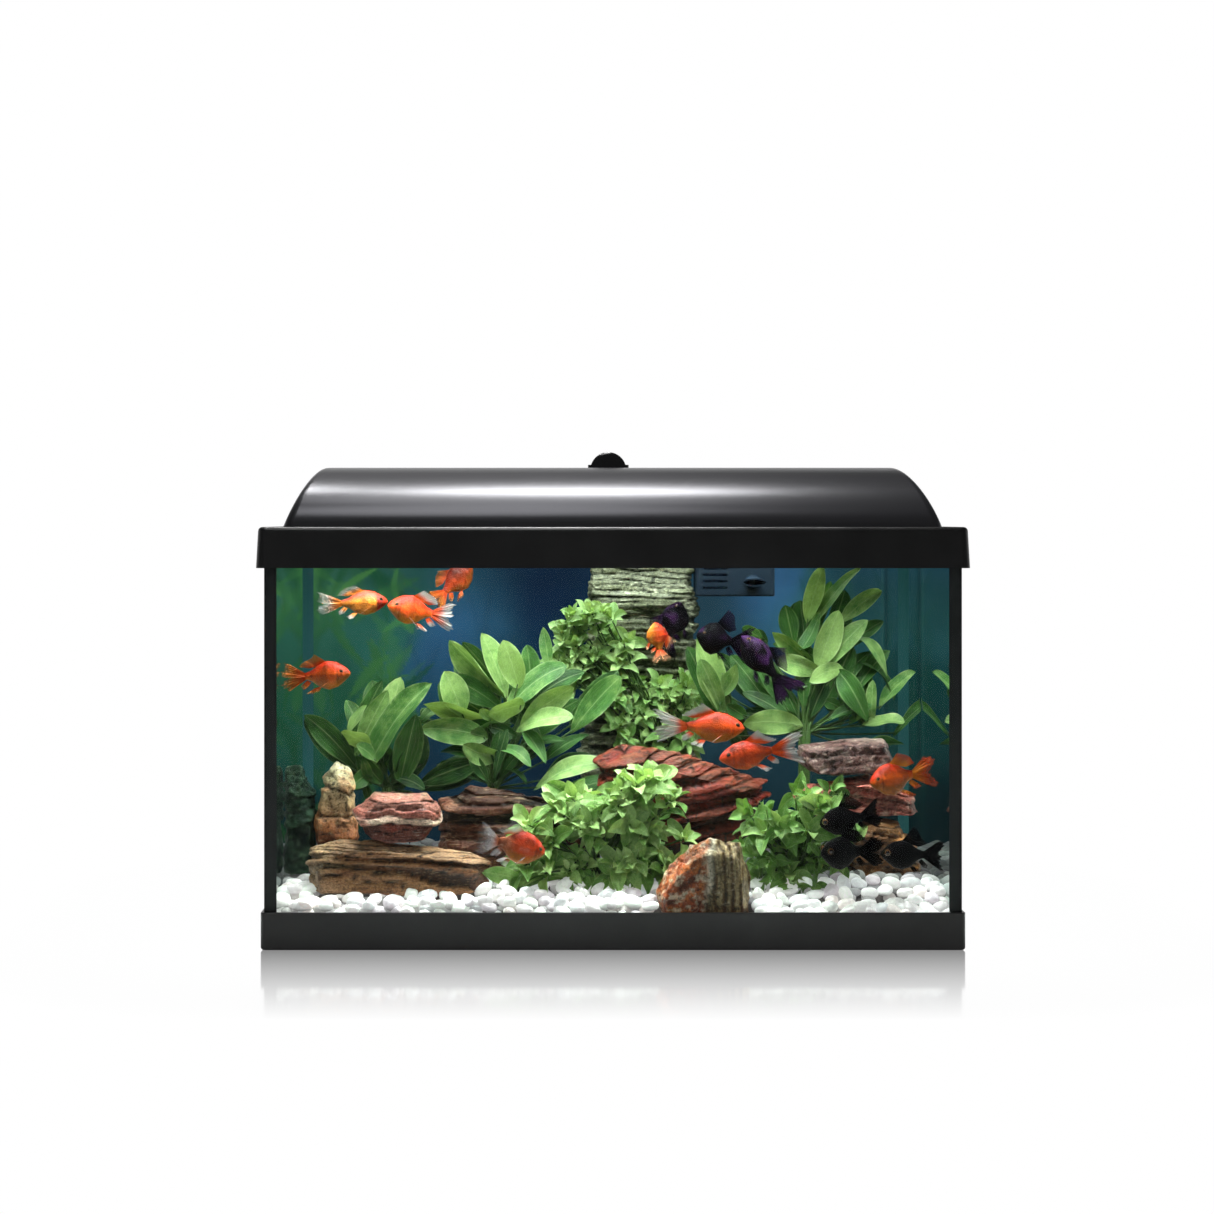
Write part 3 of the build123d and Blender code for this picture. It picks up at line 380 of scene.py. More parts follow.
# ================================================================== CAD nodes' finishes
def plastic(name, col, rough, grain=900, depth=0.00004, strength=0.25, metallic=0.0,
            var=0.12, coat=0.0, patch=1.0):
    """Moulded plastic: fine grain, slight colour drift (var), rubbed patches in the gloss."""
    m = new_material(name)
    col = np.array(col, float)
    drift = m.noise(14.0, detail=4.0)
    fine = m.noise(grain, detail=2.0, rough=0.7)
    c = m.mixc(drift, col * (1 - var), col * (1 + var))
    c = m.mixc(m.remap(fine, to=(0.0, 0.35)), c, col * 1.35)
    gloss = m.remap(m.noise(30.0, detail=5.0),
                    to=(rough * (1 - 0.15 * patch), min(1.0, rough * (1 + 0.2 * patch))))
    return m.done(m.principled(
        Base_Color=c, Roughness=gloss, Metallic=metallic,
        Normal=m.bump(fine, strength=strength, distance=depth),
        Specular_IOR_Level=0.5, Coat_Weight=coat, Coat_Roughness=0.2))


def metal(name, col, rough):
    """Drawn metal with fine lines along its length."""
    m = new_material(name)
    lines = m.noise(700.0, m.coords(scale=(1, 12, 12)), detail=2.0)
    c = m.mixc(lines, np.array(col) * 0.86, np.array(col) * 1.08)
    gloss = m.remap(lines, to=(rough * 0.7, rough * 1.35))
    return m.done(m.principled(Base_Color=c, Roughness=gloss, Metallic=1.0,
                               Normal=m.bump(lines, strength=0.15, distance=0.00003)))


def smears(m):
    return m.noise(9.0, m.coords(scale=(1, 1, 0.35)), detail=6.0, distort=1.5)


def glass(name, tint):
    """Float glass: clear straight through, mirror-like at a grazing view, faintly smeared."""
    m = new_material(name)
    smear = smears(m)
    tint = m.mixc(m.remap(smear, span=(0.35, 0.75)), tint, np.array(tint) * 0.985)
    clear = m.make("BsdfTransparent", Color=tint)
    mirror = m.make("BsdfGlossy", Color=(0.95, 1.0, 0.98),
                    Roughness=m.remap(smear, span=(0.4, 0.8), to=(0.0, 0.03)))
    return m.done(m.mix_shader(m.make("Fresnel", IOR=1.12), clear, mirror))


def end_glass():
    """The end panes: full mirrors seen across from inside the water, clear seen square on."""
    m = new_material("clear_glass_end")
    smear = smears(m)
    clear = m.make("BsdfTransparent", Color=m.mixc(smear, (0.95, 0.985, 0.97), (0.93, 0.975, 0.96)))
    mirror = m.make("BsdfGlossy", Color=(0.90, 0.98, 0.95),
                    Roughness=m.remap(smear, span=(0.4, 0.8), to=(0.02, 0.06)))
    return m.done(m.mix_shader(m.remap(m.facing(), span=(0.50, 0.70), to=(0.05, 0.97)), clear, mirror))


def silicone():
    """Black beads at the front corners and floor; those at the rear are painted the sheet's teal and
    glow, a painted glow standing in for the lit sheet seen through them.
    """
    m = new_material("black_silicone")
    n = m.noise(500.0, detail=2.0)
    black = m.principled(Base_Color=m.mixc(n, (0.006, 0.006, 0.007), (0.011, 0.011, 0.012)),
                         Roughness=0.42, Normal=m.bump(n, strength=0.2, distance=0.0001))
    # painted glow: the rear beads are teal and give off light, though they are no lamp
    rear = m.principled(Base_Color=m.mixc(n, (0.010, 0.034, 0.036), (0.016, 0.046, 0.046)),
                        Roughness=0.5, Emission_Color=rgb(28, 68, 70), Emission_Strength=0.75)
    y = m.position()["Y"]
    z = m.position()["Z"]
    at_rear = m.math("MULTIPLY", m.math("GREATER_THAN", y, 0.06), m.math("GREATER_THAN", z, 0.03))
    return m.done(m.mix_shader(at_rear, black, rear))


def lamp_glass():
    """Lit tube; the phosphor coat is a little thinner, and browner, near the ends."""
    m = new_material("lamp_glass")
    x = m.add("SeparateXYZ", {0: m.add("TexCoord").outputs["Object"]}).outputs["X"]
    end = m.remap(m.math("ABSOLUTE", x), span=(0.150, 0.171))
    mottle = m.noise(160.0, detail=3.0)
    colour = m.mixc(end, (0.95, 0.98, 1.0), (0.55, 0.50, 0.44))
    strength = m.math("MULTIPLY", m.remap(end, span=(0, 1), to=(1.0, 0.25)),
                      m.remap(mottle, span=(0.2, 0.8), to=(5.4, 6.2)))
    glow = m.make("Emission", Color=colour, Strength=strength)
    tube_glass = m.principled(Base_Color=(0.9, 0.92, 0.93), Roughness=0.08)
    return m.done(m.add("AddShader", {0: glow, 1: tube_glass}).outputs[0])


def clear_plastic():
    m = new_material("clear_plastic")
    wear = m.noise(60.0, m.coords(scale=(1, 4, 1)), detail=5.0)
    clear = m.make("BsdfTransparent", Color=(0.97, 0.985, 0.985))
    mirror = m.make("BsdfGlossy", Color=(0.9, 0.95, 0.97), Roughness=m.remap(wear, to=(0.03, 0.15)))
    return m.done(m.mix_shader(m.make("Fresnel", IOR=1.4), clear, mirror))


def foam():
    m = new_material("filter_foam")
    cells = m.voronoi(620.0)
    c = m.mixc(m.remap(cells, span=(0.1, 0.6)), (0.006, 0.012, 0.025), (0.05, 0.085, 0.15))
    return m.done(m.principled(Base_Color=c, Roughness=0.95,
                               Normal=m.bump(cells, strength=0.8, distance=0.0008)))


FINISHES = (
    (plastic("frame_plastic", (0.0058, 0.0058, 0.0061), rough=0.34, grain=1500, depth=0.00003,
             strength=0.2, var=0.1), "hood_frame"),
    # the base: the frame's black plastic painted lighter, for the light it gets from the white floor
    (plastic("frame_plastic_base_painted_lighter", (0.0235, 0.0235, 0.0234), rough=0.34, grain=1500, depth=0.00005,
             strength=0.4), "base_frame"),
    (plastic("lid_plastic", (0.056, 0.056, 0.062), rough=0.29, grain=1700, depth=0.00006,
             strength=0.20, metallic=0.65, var=0.02, patch=0.06), "lid", "feeding_hatch"),
    (plastic("knob_plastic", (0.010, 0.010, 0.011), rough=0.18, grain=1200, depth=0.00002,
             strength=0.1, coat=0.4), "hatch_knob"),
    (glass("clear_glass_front", (0.955, 0.985, 0.975)), "front_pane"),
    (glass("clear_glass_rear", (0.975, 0.99, 0.985)), "rear_pane", "bottom_pane"),
    (end_glass(), "left_pane", "right_pane"),
    (silicone(), "corner_silicone", "bottom_silicone"),
    (metal("bright_steel", (0.62, 0.63, 0.64), rough=0.24),
     "hinge_pins", "hatch_pin", "knob_screw", "tray_screws"),
    (plastic("white_enamel", (0.80, 0.82, 0.82), rough=0.28, grain=700, depth=0.00002,
             strength=0.1, var=0.03), "lamp_tray"),
    (lamp_glass(), "lamp_tube"),
    (metal("cap_aluminium", (0.76, 0.77, 0.78), rough=0.30), "lamp_end_caps"),
    (plastic("white_plastic", (0.74, 0.74, 0.71), rough=0.42, depth=0.00003, var=0.04),
     "lamp_sockets", "tube_clips", "impeller", "impeller_cover"),
    (clear_plastic(), "splash_cover"),
    (plastic("cable_black", (0.012, 0.012, 0.012), rough=0.5, grain=800, depth=0.00006,
             strength=0.3), "lamp_cable", "filter_cable"),
    (plastic("fitting_black", (0.016, 0.016, 0.018), rough=0.38, grain=1400),
     "cord_switch", "lamp_plug", "filter_plug", "ballast_box"),
    (plastic("filter_housing_black", (0.007, 0.014, 0.025), rough=0.5, var=0.15),
     "filter_canister", "filter_head", "outlet_nozzle", "flow_knob"),
    (plastic("rocker_grey", (0.16, 0.16, 0.165), rough=0.3, grain=1200, depth=0.00002, var=0.05),
     "switch_rocker"),
    (foam(), "filter_sponge"),
    (plastic("shaft_ceramic", (0.80, 0.77, 0.71), rough=0.25, grain=1500, depth=0.00002, var=0.03),
     "impeller_shaft"),
    (plastic("cup_rubber", (0.03, 0.032, 0.033), rough=0.3, grain=400, depth=0.00005),
     "suction_cups"),
)
for finish_mat, *painted in FINISHES:
    for painted_node in painted:
        slots = NODES[painted_node].data.materials
        slots.clear()
        slots.append(finish_mat)


# ================================================================== rocks
def rock_material(name, cream, creamy, band, flat, tilt=0.0, rough=0.72, fine=520, wet=0.3):
    """Stone coloured bed by bed in Col, broken by seams, grain, pits and a thin wet sheen.

    cream, creamy: colour (sRGB) and strength of the pale seams; band, flat, tilt: the seams'
    scale, upright squeeze and slope in degrees; fine: scale of the grain.
    """
    m = new_material(name)
    cream = rgb(*cream)
    c = m.attr("Col")
    v = m.coords()
    seam_v = m.coords(scale=(1.0, 1.0, flat), rotation=(0.0, math.radians(tilt), 0.0))
    seam = m.noise(band, seam_v, detail=8.0, rough=0.68, distort=0.55)
    grain = m.noise(fine, v, detail=6.0, rough=0.72)
    pits = m.voronoi(fine * 0.6, v)
    c = m.shade(c, m.remap(seam, span=(0.32, 0.47), to=(0.10, 1.0)))
    c = m.mixc(m.remap(seam, span=(0.55, 0.70), to=(0.0, creamy)), c, cream)
    c = m.shade(c, m.remap(grain, span=(0.34, 0.62), to=(0.42, 1.18)))
    c = m.mixc(m.remap(grain, span=(0.60, 0.72), to=(0.0, creamy * 0.8)), c, cream)
    c = m.mixc(m.remap(pits, span=(0.0, 0.20), to=(0.7, 0.0)), c, (0.010, 0.007, 0.006))
    relief = m.bump(seam, strength=0.9, distance=0.0030)
    relief = m.bump(grain, strength=0.72, distance=0.0012, Normal=relief)
    relief = m.bump(pits, strength=0.45, distance=0.0008, Normal=relief)
    gloss = m.remap(m.noise(55.0, v, detail=4.0), span=(0.35, 0.65),
                    to=(rough * 0.7, min(1.0, rough * 1.15)))
    return m.done(m.principled(Base_Color=c, Roughness=gloss, Normal=relief,
                               Specular_IOR_Level=0.45, Coat_Weight=wet, Coat_Roughness=0.3))


def cut_beds(pts, normals, normal, thick, ledge, groove, warp, seed, freq=28,
             stretch=(1, 1, 1), power=6):
    """Bedded stone: points move sideways, across the bedding normal, one ledge per bed.

    thick, ledge and groove are the bed's height, ledge and joint depth in mm; warp, freq and
    stretch bend the beds; a higher power narrows the joints.
    """
    normal = np.array(normal, float)
    normal = normal / np.linalg.norm(normal)
    ledge, groove = ledge * MM, groove * MM
    waves = pts * stretch * freq
    level = (pts @ normal) / (thick * MM) + warp * fbm(waves, 3, seed)
    index = np.floor(level)
    tone = hash_index(index, seed)
    side = normals - (normals @ normal)[:, None] * normal
    length = np.linalg.norm(side, axis=1)
    side = side / np.maximum(length, 1e-6)[:, None]
    bulge = 1 - np.abs(2 * (level - index) - 1) ** power
    local = fbm(waves * 2.3 + (index * 17.31)[:, None], 3, seed + 5)
    push = (tone - 0.5) * 2 * ledge + local * ledge * 0.9 - (1 - bulge) * groove
    move = side * (push * smooth(0.15, 0.6, length))[:, None]
    proud = (move * normals).sum(1) / (ledge + groove)
    return pts + move, SimpleNamespace(index=index, tone=tone, bulge=bulge, local=local, proud=proud)


def build_rock(node, mat, slot, seed, colour, layers, lumps, shade, tint=(1, 1, 1), foot=0,
               voxel=1.1, relax=5, grit=0.6):
    """A CAD rock as weathered stone; lumps, foot, voxel and grit are in mm."""
    mesh = remeshed(node, voxel * MM, relax)
    pts, normals = point_values(mesh, "co"), point_values(mesh, "normal")
    low, high = box(node)
    rel = (pts - low) / (high - low)
    pts = pts + normals * (fbm(pts * 22.0, 3, seed) * lumps * MM)[:, None]
    beds = []
    for layer in layers:
        pts, bed = cut_beds(pts, normals, **layer)
        beds.append(bed)
    grain = fbm(pts * 210.0, 3, seed + 9)
    pts = pts + normals * (grain * grit * MM)[:, None]
    # the foot is bedded in the pebbles
    pts[:, 2] -= foot * MM * smooth(0.34, 0.0, rel[:, 2])
    pts[:, 2] = np.maximum(pts[:, 2], low[2] - 0.004 - foot * MM)
    mesh.vertices.foreach_set("co", pts.astype(np.float32).ravel())
    mesh.update()
    rock = SimpleNamespace(pts=pts, normals=normals, rel=rel, beds=beds, grain=grain)
    # painted shade and light: points pushed into the stone darker, proud ones lighter
    proud = sum(bed.proud for bed in beds)
    col = colour(rock) * (shade * np.clip(0.82 + 0.60 * proud, 0.25, 1.25))[:, None] * tint
    set_colour(mesh, "Col", np.clip(col, 0, 0.92))
    mesh.name = node + "_stone"
    mesh.materials.clear()
    place(finish(node + "_stone", mesh, mat), slot, node)


def darken(colour, least, light):
    """Colour scaled from least (light 0) to full (light 1)."""
    return colour * (least + (1 - least) * light)[:, None]


def log_colour(rock):
    bed = rock.beds[0]
    c = palette([(70, 44, 24), (128, 84, 48), (176, 124, 82), (196, 156, 112), (150, 98, 60)],
                bed.tone * 0.6 + 0.2 + bed.local * 0.35)
    red = smooth(0.3, 0.8, fbm(rock.pts * (14, 14, 40), 3, 91))
    c = mix(c, rgb(126, 60, 44), red * 0.45)
    # painted light: faces turned up, in the middle of each bed, lightened to cream
    top = smooth(0.55, 0.9, bed.bulge) * smooth(0.1, 0.7, rock.normals[:, 2] + bed.local * 0.3)
    c = mix(c, rgb(226, 204, 178), top * 0.65)
    left = smooth(0.30, 0.05, rock.rel[:, 0] + 0.15 * bed.local)
    c = mix(c, rgb(232, 222, 186), left * 0.6)
    # painted shade in the grooves between beds; the split lines are dark cracks
    split = np.abs(fbm(rock.pts * (40, 40, 190), 3, 64))
    return darken(c, 0.05, smooth(0.1, 0.75, bed.bulge) * (0.35 + 0.65 * smooth(0.0, 0.14, split)))


def pink_colour(rock):
    bed = rock.beds[0]
    c = palette([(146, 74, 62), (196, 132, 118), (214, 160, 146), (176, 104, 92), (226, 184, 168)],
                bed.tone)
    c = mix(c, rgb(150, 58, 44), smooth(0.2, 0.7, bed.local) * 0.5)
    top = smooth(0.78, 0.98, rock.rel[:, 2]) * 0.5 * smooth(-0.2, 0.4, rock.grain)
    c = mix(c, rgb(160, 156, 126), top)
    # painted shade in the grooves between beds
    return darken(c, 0.12, smooth(0.05, 0.7, bed.bulge))


def upright_colour(rock):
    bed, upright = rock.beds
    height = rock.rel[:, 2] + fbm(rock.pts * 40, 2, 8) * 0.06
    c = palette([(70, 34, 26), (120, 62, 40), (176, 118, 80), (196, 170, 128), (184, 178, 140),
                 (206, 206, 176)], height)
    c = mix(c, rgb(186, 120, 70), smooth(0.1, 0.6, bed.local) * 0.5)
    # painted shade in the grooves between beds and upright layers
    return darken(c, 0.18, smooth(0.05, 0.6, np.minimum(bed.bulge, upright.bulge)))


def brown_colour(rock):
    bed = rock.beds[0]
    c = palette([(40, 24, 18), (92, 52, 36), (140, 88, 60), (120, 70, 54), (176, 130, 100)],
                bed.tone * 0.8 + bed.local * 0.25)
    # painted shade in the grooves between beds
    return darken(c, 0.06, smooth(0.1, 0.75, bed.bulge))


def red_colour(rock):
    bed = rock.beds[0]
    c = palette([(88, 22, 14), (142, 44, 30), (172, 66, 46), (120, 32, 22), (184, 92, 66)],
                bed.tone * 0.85 + bed.local * 0.2)
    tan = smooth(0.25, 0.7, fbm(rock.pts * (26, 26, 60), 3, 17)) * smooth(0.3, 0.9, bed.bulge)
    c = mix(c, rgb(176, 104, 72), tan * 0.35)
    # painted light: faces turned up lightened towards tan
    top = smooth(0.55, 1.05, rock.normals[:, 2] + 0.3 * rock.grain)
    c = mix(c, rgb(140, 104, 74), top * 0.55)
    # painted shade in the grooves between beds; the split lines are dark cracks
    split = np.abs(fbm(rock.pts * (75, 75, 40) + (bed.index * 3.1)[:, None], 3, 63))
    return darken(c, 0.03, smooth(0.12, 0.8, bed.bulge) * smooth(0.0, 0.10, split))


def split_colour(rock):
    """Left: rust with white flecks; a white crystal edge; right: upright grey and brown stripes."""
    pts = rock.pts
    x = rock.rel[:, 0] + fbm(pts * 45, 2, 3) * 0.04
    z = rock.rel[:, 2]
    edge = 0.60 - 0.14 * (1 - z)
    rust = palette([(104, 44, 20), (170, 78, 36), (206, 120, 66), (140, 60, 30)],
                   np.clip(0.5 + fbm(pts * 120, 3, 5) * 0.6, 0, 1))
    fleck = smooth(0.12, 0.50, fbm(pts * (260, 260, 330), 3, 6))
    rust = mix(rust, rgb(226, 204, 184), fleck * 0.8)
    rust = darken(rust, 0.45, smooth(0.0, 0.12, np.abs(fbm(pts * 70, 3, 66))))
    stripe_pitch, lean = 0.0065, 0.075
    across = pts[:, 0] + lean * (pts[:, 2] - pts[:, 2].min())
    across = across + fbm(pts * (60, 60, 18), 3, 12) * 0.004
    stripe = np.sin(across * 2 * np.pi / stripe_pitch)
    wood = palette([(70, 48, 26), (134, 104, 66), (196, 176, 138), (112, 80, 44)],
                   0.5 + 0.4 * stripe + fbm(pts * 60, 2, 4) * 0.15)
    wood = mix(wood, rgb(96, 50, 30), smooth(0.25, 0.0, z) * 0.6)
    c = mix(rust, wood, smooth(edge - 0.01, edge + 0.03, x))
    white = np.exp(-((x - edge) / 0.035) ** 2) * smooth(0.1, 0.5, z)
    c = mix(c, rgb(232, 224, 210), np.clip(white * 0.9, 0, 1))
    return darken(c, 0.75, smooth(-0.6, 0.4, rock.grain))


def granite(stops, pale):
    """Speckled stone with a pale upper rim."""
    def colour(rock):
        speck = fbm(rock.pts * 420, 2, 21)
        patch = fbm(rock.pts * 150, 3, 22)
        c = palette(stops, np.clip(0.5 + 0.5 * speck + 0.25 * patch, 0, 1))
        c = mix(c, rgb(*pale), smooth(0.3, 0.7, patch) * 0.5)
        c = mix(c, rgb(*pale), smooth(0.86, 0.98, rock.rel[:, 2] + 0.03 * patch) * 0.7)
        # painted shade in the grooves between beds
        return darken(c, 0.4, smooth(0.0, 0.6, rock.beds[0].bulge))
    return colour


def cave_colour(rock):
    bed = rock.beds[0]
    c = palette([(58, 38, 22), (130, 88, 48), (184, 138, 84), (150, 100, 56), (206, 170, 120)],
                bed.tone * 0.8 + 0.25 * bed.local)
    dark = smooth(0.55, 0.85, fbm(rock.pts * (30, 30, 45), 3, 77) + 0.5)
    c = mix(c, rgb(30, 20, 16), dark * 0.75)
    # painted shade in the grooves between beds
    return darken(c, 0.06, smooth(0.1, 0.75, bed.bulge))


def tower_colour(rock):
    bed = rock.beds[0]
    c = palette([(122, 128, 84), (186, 190, 142), (222, 222, 182), (168, 172, 122), (236, 234, 206)],
                np.clip(bed.tone * 0.8 + 0.1 + bed.local * 0.3, 0, 1))
    c = mix(c, rgb(120, 140, 84), smooth(0.1, 0.8, fbm(rock.pts * 26, 3, 44)) * 0.4)
    c = mix(c, rgb(150, 118, 84), smooth(0.35, 0.0, rock.rel[:, 2]) * 0.6)
    # upright joints cut the beds into blocks
    joint_pitch = 0.017
    joint = (rock.pts[:, 0] / joint_pitch + hash_index(bed.index, 9) * 7.0
             + fbm(rock.pts * 60, 2, 31) * 0.3)
    joint = np.abs((joint - np.floor(joint)) * 2 - 1)
    # painted shade in the grooves between beds; the upright joints are dark lines
    return darken(c, 0.16, smooth(0.0, 0.5, bed.bulge) * smooth(1.0, 0.86, joint))


def moss_colour(rock):
    c = palette([(20, 40, 34), (44, 74, 56), (70, 104, 76), (34, 58, 48)],
                np.clip(0.5 + 0.6 * fbm(rock.pts * 70, 3, 51), 0, 1))
    return mix(c, rgb(126, 150, 118), smooth(0.4, 0.8, fbm(rock.pts * 240, 2, 52)) * 0.4)


BROWN_STONE = rock_material("brown_stone", cream=(206, 178, 140), creamy=0.55,
                            band=120, flat=5.0, tilt=-4)
build_rock(
    "log_rock", rock_material("brown_stone_log", cream=(198, 168, 128), creamy=0.6,
                              band=150, flat=7.0, tilt=3),
    "brown_stone", seed=11, colour=log_colour, tint=(1.35, 1.02, 0.80), lumps=3.0, foot=9,
    shade=0.62, layers=[dict(normal=(0.05, 0.1, 1), thick=3.4, ledge=2.0, groove=2.2, warp=1.5,
                             seed=3, freq=30, stretch=(0.35, 1, 1.2))])
build_rock(
    "pink_rock", rock_material("pink_stone", cream=(232, 200, 186), creamy=0.5,
                               band=120, flat=7.0, tilt=2),
    "pink_stone", seed=12, colour=pink_colour, tint=(1.9, 1.65, 1.5), lumps=2.2, foot=2,
    shade=0.75, layers=[dict(normal=(0.03, 0, 1), thick=5.6, ledge=2.0, groove=1.8, warp=1.5,
                             seed=4, freq=34, stretch=(0.6, 1, 1))])
build_rock(
    "upright_rock", rock_material("brown_stone_upright", cream=(192, 186, 140), creamy=0.45,
                                  band=150, flat=1.6),
    "brown_stone", seed=13, colour=upright_colour, tint=(1.8, 1.55, 1.4), lumps=2.4, foot=6,
    shade=0.62, layers=[dict(normal=(0.1, 0, 1), thick=22, ledge=2.2, groove=3.4, warp=0.35,
                             seed=5, freq=40, power=8),
                        dict(normal=(1, 0.2, 0.35), thick=9, ledge=0.8, groove=1.4, warp=0.7,
                             seed=6, freq=45, power=14)])
build_rock(
    "brown_rock", BROWN_STONE,
    "brown_stone", seed=14, colour=brown_colour, tint=(1.25, 0.95, 0.85), lumps=3.4, foot=4,
    shade=0.42, layers=[dict(normal=(0.12, 0, 1), thick=6.5, ledge=3.2, groove=2.6, warp=1.1,
                             seed=7, freq=26, stretch=(0.5, 1, 1))])
build_rock(
    "red_slate_rock", rock_material("red_stone", cream=(180, 110, 76), creamy=0.25,
                                    band=95, flat=5.5, tilt=-12, wet=0.45),
    "red_stone", seed=15, colour=red_colour, tint=(1.16, 0.86, 0.74), lumps=3.6, foot=4,
    voxel=1.2, shade=0.62,
    layers=[dict(normal=(-0.22, -0.15, 1), thick=6.8, ledge=4.2, groove=3.2, warp=1.0,
                 seed=8, freq=24, stretch=(0.45, 1, 1)),
            dict(normal=(-0.22, -0.15, 1), thick=2.4, ledge=0.8, groove=1.0, warp=1.2,
                 seed=28, freq=50, stretch=(0.4, 1, 1))])
build_rock(
    "split_rock", rock_material("brown_stone_split", cream=(236, 216, 190), creamy=0.55,
                                band=210, flat=1.3, fine=460, wet=0.5),
    "brown_stone", seed=16, colour=split_colour, tint=(1.75, 1.65, 1.45), lumps=2.4,
    voxel=1.0, grit=1.0, shade=0.80,
    layers=[dict(normal=(1, 0, 0.3), thick=11, ledge=1.1, groove=0.9, warp=0.6, seed=9, freq=40)])
build_rock(
    "upper_slab_rock", rock_material("granite_stone", cream=(214, 190, 178), creamy=0.6,
                                     band=140, flat=1.6, fine=420),
    "granite_stone", seed=17, tint=(0.88, 0.82, 0.84), lumps=1.8, shade=0.62,
    colour=granite([(70, 46, 46), (124, 84, 82), (168, 128, 118), (96, 58, 56)], (206, 186, 170)),
    layers=[dict(normal=(0.05, 0, 1), thick=8, ledge=1.3, groove=0.9, warp=0.7, seed=10, freq=40)])
build_rock(
    "lower_slab_rock", rock_material("pink_stone_slab", cream=(226, 186, 168), creamy=0.6,
                                     band=130, flat=6.0, tilt=7),
    "pink_stone", seed=18, tint=(1.9, 1.75, 1.75), lumps=2.0, shade=0.68,
    colour=granite([(120, 44, 36), (182, 88, 74), (210, 134, 116), (150, 58, 46)], (228, 196, 176)),
    layers=[dict(normal=(0.10, 0, 1), thick=7, ledge=2.6, groove=2.4, warp=0.8, seed=11, freq=30,
                 stretch=(0.5, 1, 1))])
build_rock(
    "cave_rock", BROWN_STONE,
    "brown_stone", seed=19, colour=cave_colour, tint=(2.5, 1.9, 1.35), lumps=3.2, foot=8,
    shade=0.72, layers=[dict(normal=(0.10, 0, 1), thick=5.4, ledge=3.0, groove=2.6, warp=1.0,
                             seed=12, freq=30, stretch=(0.6, 1, 1))])
build_rock(
    "tower_rock", rock_material("cream_stone", cream=(232, 230, 192), creamy=0.7,
                                band=105, flat=5.5, rough=0.8, wet=0.1),
    "cream_stone", seed=20, colour=tower_colour, tint=(0.52, 0.52, 0.52), lumps=5.0,
    voxel=1.45, relax=8, shade=0.70,
    layers=[dict(normal=(0.02, 0.03, 1), thick=4.6, ledge=2.6, groove=2.4, warp=0.8, seed=13,
                 freq=22, stretch=(0.6, 1, 1))])
build_rock(
    "moss_rock", rock_material("moss_stone", cream=(110, 140, 104), creamy=0.3,
                               band=120, flat=1.5, fine=300, rough=0.9, wet=0.0),
    "moss_stone", seed=21, colour=moss_colour, lumps=3.2, grit=1.2, shade=0.5,
    layers=[dict(normal=(0, 0, 1), thick=9, ledge=1.0, groove=1.0, warp=0.8, seed=14)])


# ================================================================== pebble bed
PEBBLE_GAP = 0.0104
WALL_GAP = 0.0009
PEBBLE_TINTS = (
    (250, 248, 246), (244, 238, 238), (236, 236, 238), (246, 236, 232), (238, 240, 234),
    (248, 246, 242), (226, 216, 222), (250, 250, 250), (250, 249, 247), (244, 240, 238),
)


def marble():
    m = new_material("marble_pebbles")
    v = m.coords()
    c = m.attr("Col")
    vein = m.noise(95.0, v, detail=6.0, rough=0.65, distort=2.2)
    grain = m.noise(900.0, v, detail=3.0)
    c = m.tinge(m.remap(vein, span=(0.47, 0.53), to=(0.0, 0.38)), c, (0.72, 0.70, 0.72))
    c = m.tinge(m.remap(grain, to=(0.0, 0.25)), c, (0.80, 0.78, 0.76))
    # painted light: the stones glow with their own colour
    return m.done(m.principled(Base_Color=c, Roughness=m.remap(grain, to=(0.32, 0.55)),
                               Normal=m.bump(grain, strength=0.25, distance=0.0003),
                               Emission_Color=c, Emission_Strength=0.38))


def bed_top(x, y):
    """Height of the bed: it falls away at the front glass and to the right-hand front corner."""
    front = smooth(-0.070, -0.112, y)
    slope = 0.0075 * front + 0.0045 * front * smooth(-0.02, 0.16, x)
    waves = 0.0016 * np.sin(x * 23.0 + 1.0) * np.sin(y * 31.0 + 0.5)
    return BED_HI[2] - 0.0035 - slope + waves


def rear_painted_shade(y):
    """Painted shade: behind the rockwork the stones are darkened."""
    return 1 - 0.86 * smooth(-0.076, -0.046, y)


def scatter(width, height, gap, tries, rng, stretch=1.0):
    """Dart throwing in a rectangle; stretch tightens the spacing up the second axis."""
    cells, found = {}, []
    for _ in range(tries):
        x, y = rng.uniform(0, width), rng.uniform(0, height) * stretch
        size = gap * rng.uniform(0.86, 1.14)
        column, row = int(x / gap), int(y / gap)
        near = (stone for i in range(column - 1, column + 2) for j in range(row - 1, row + 2)
                for stone in cells.get((i, j), ()))
        if all((a - x) ** 2 + (b - y) ** 2 >= (0.5 * (size + other)) ** 2 * 0.92
               for a, b, other in near):
            cells.setdefault((column, row), []).append((x, y, size))
            found.append((x, y / stretch, size))
    return found


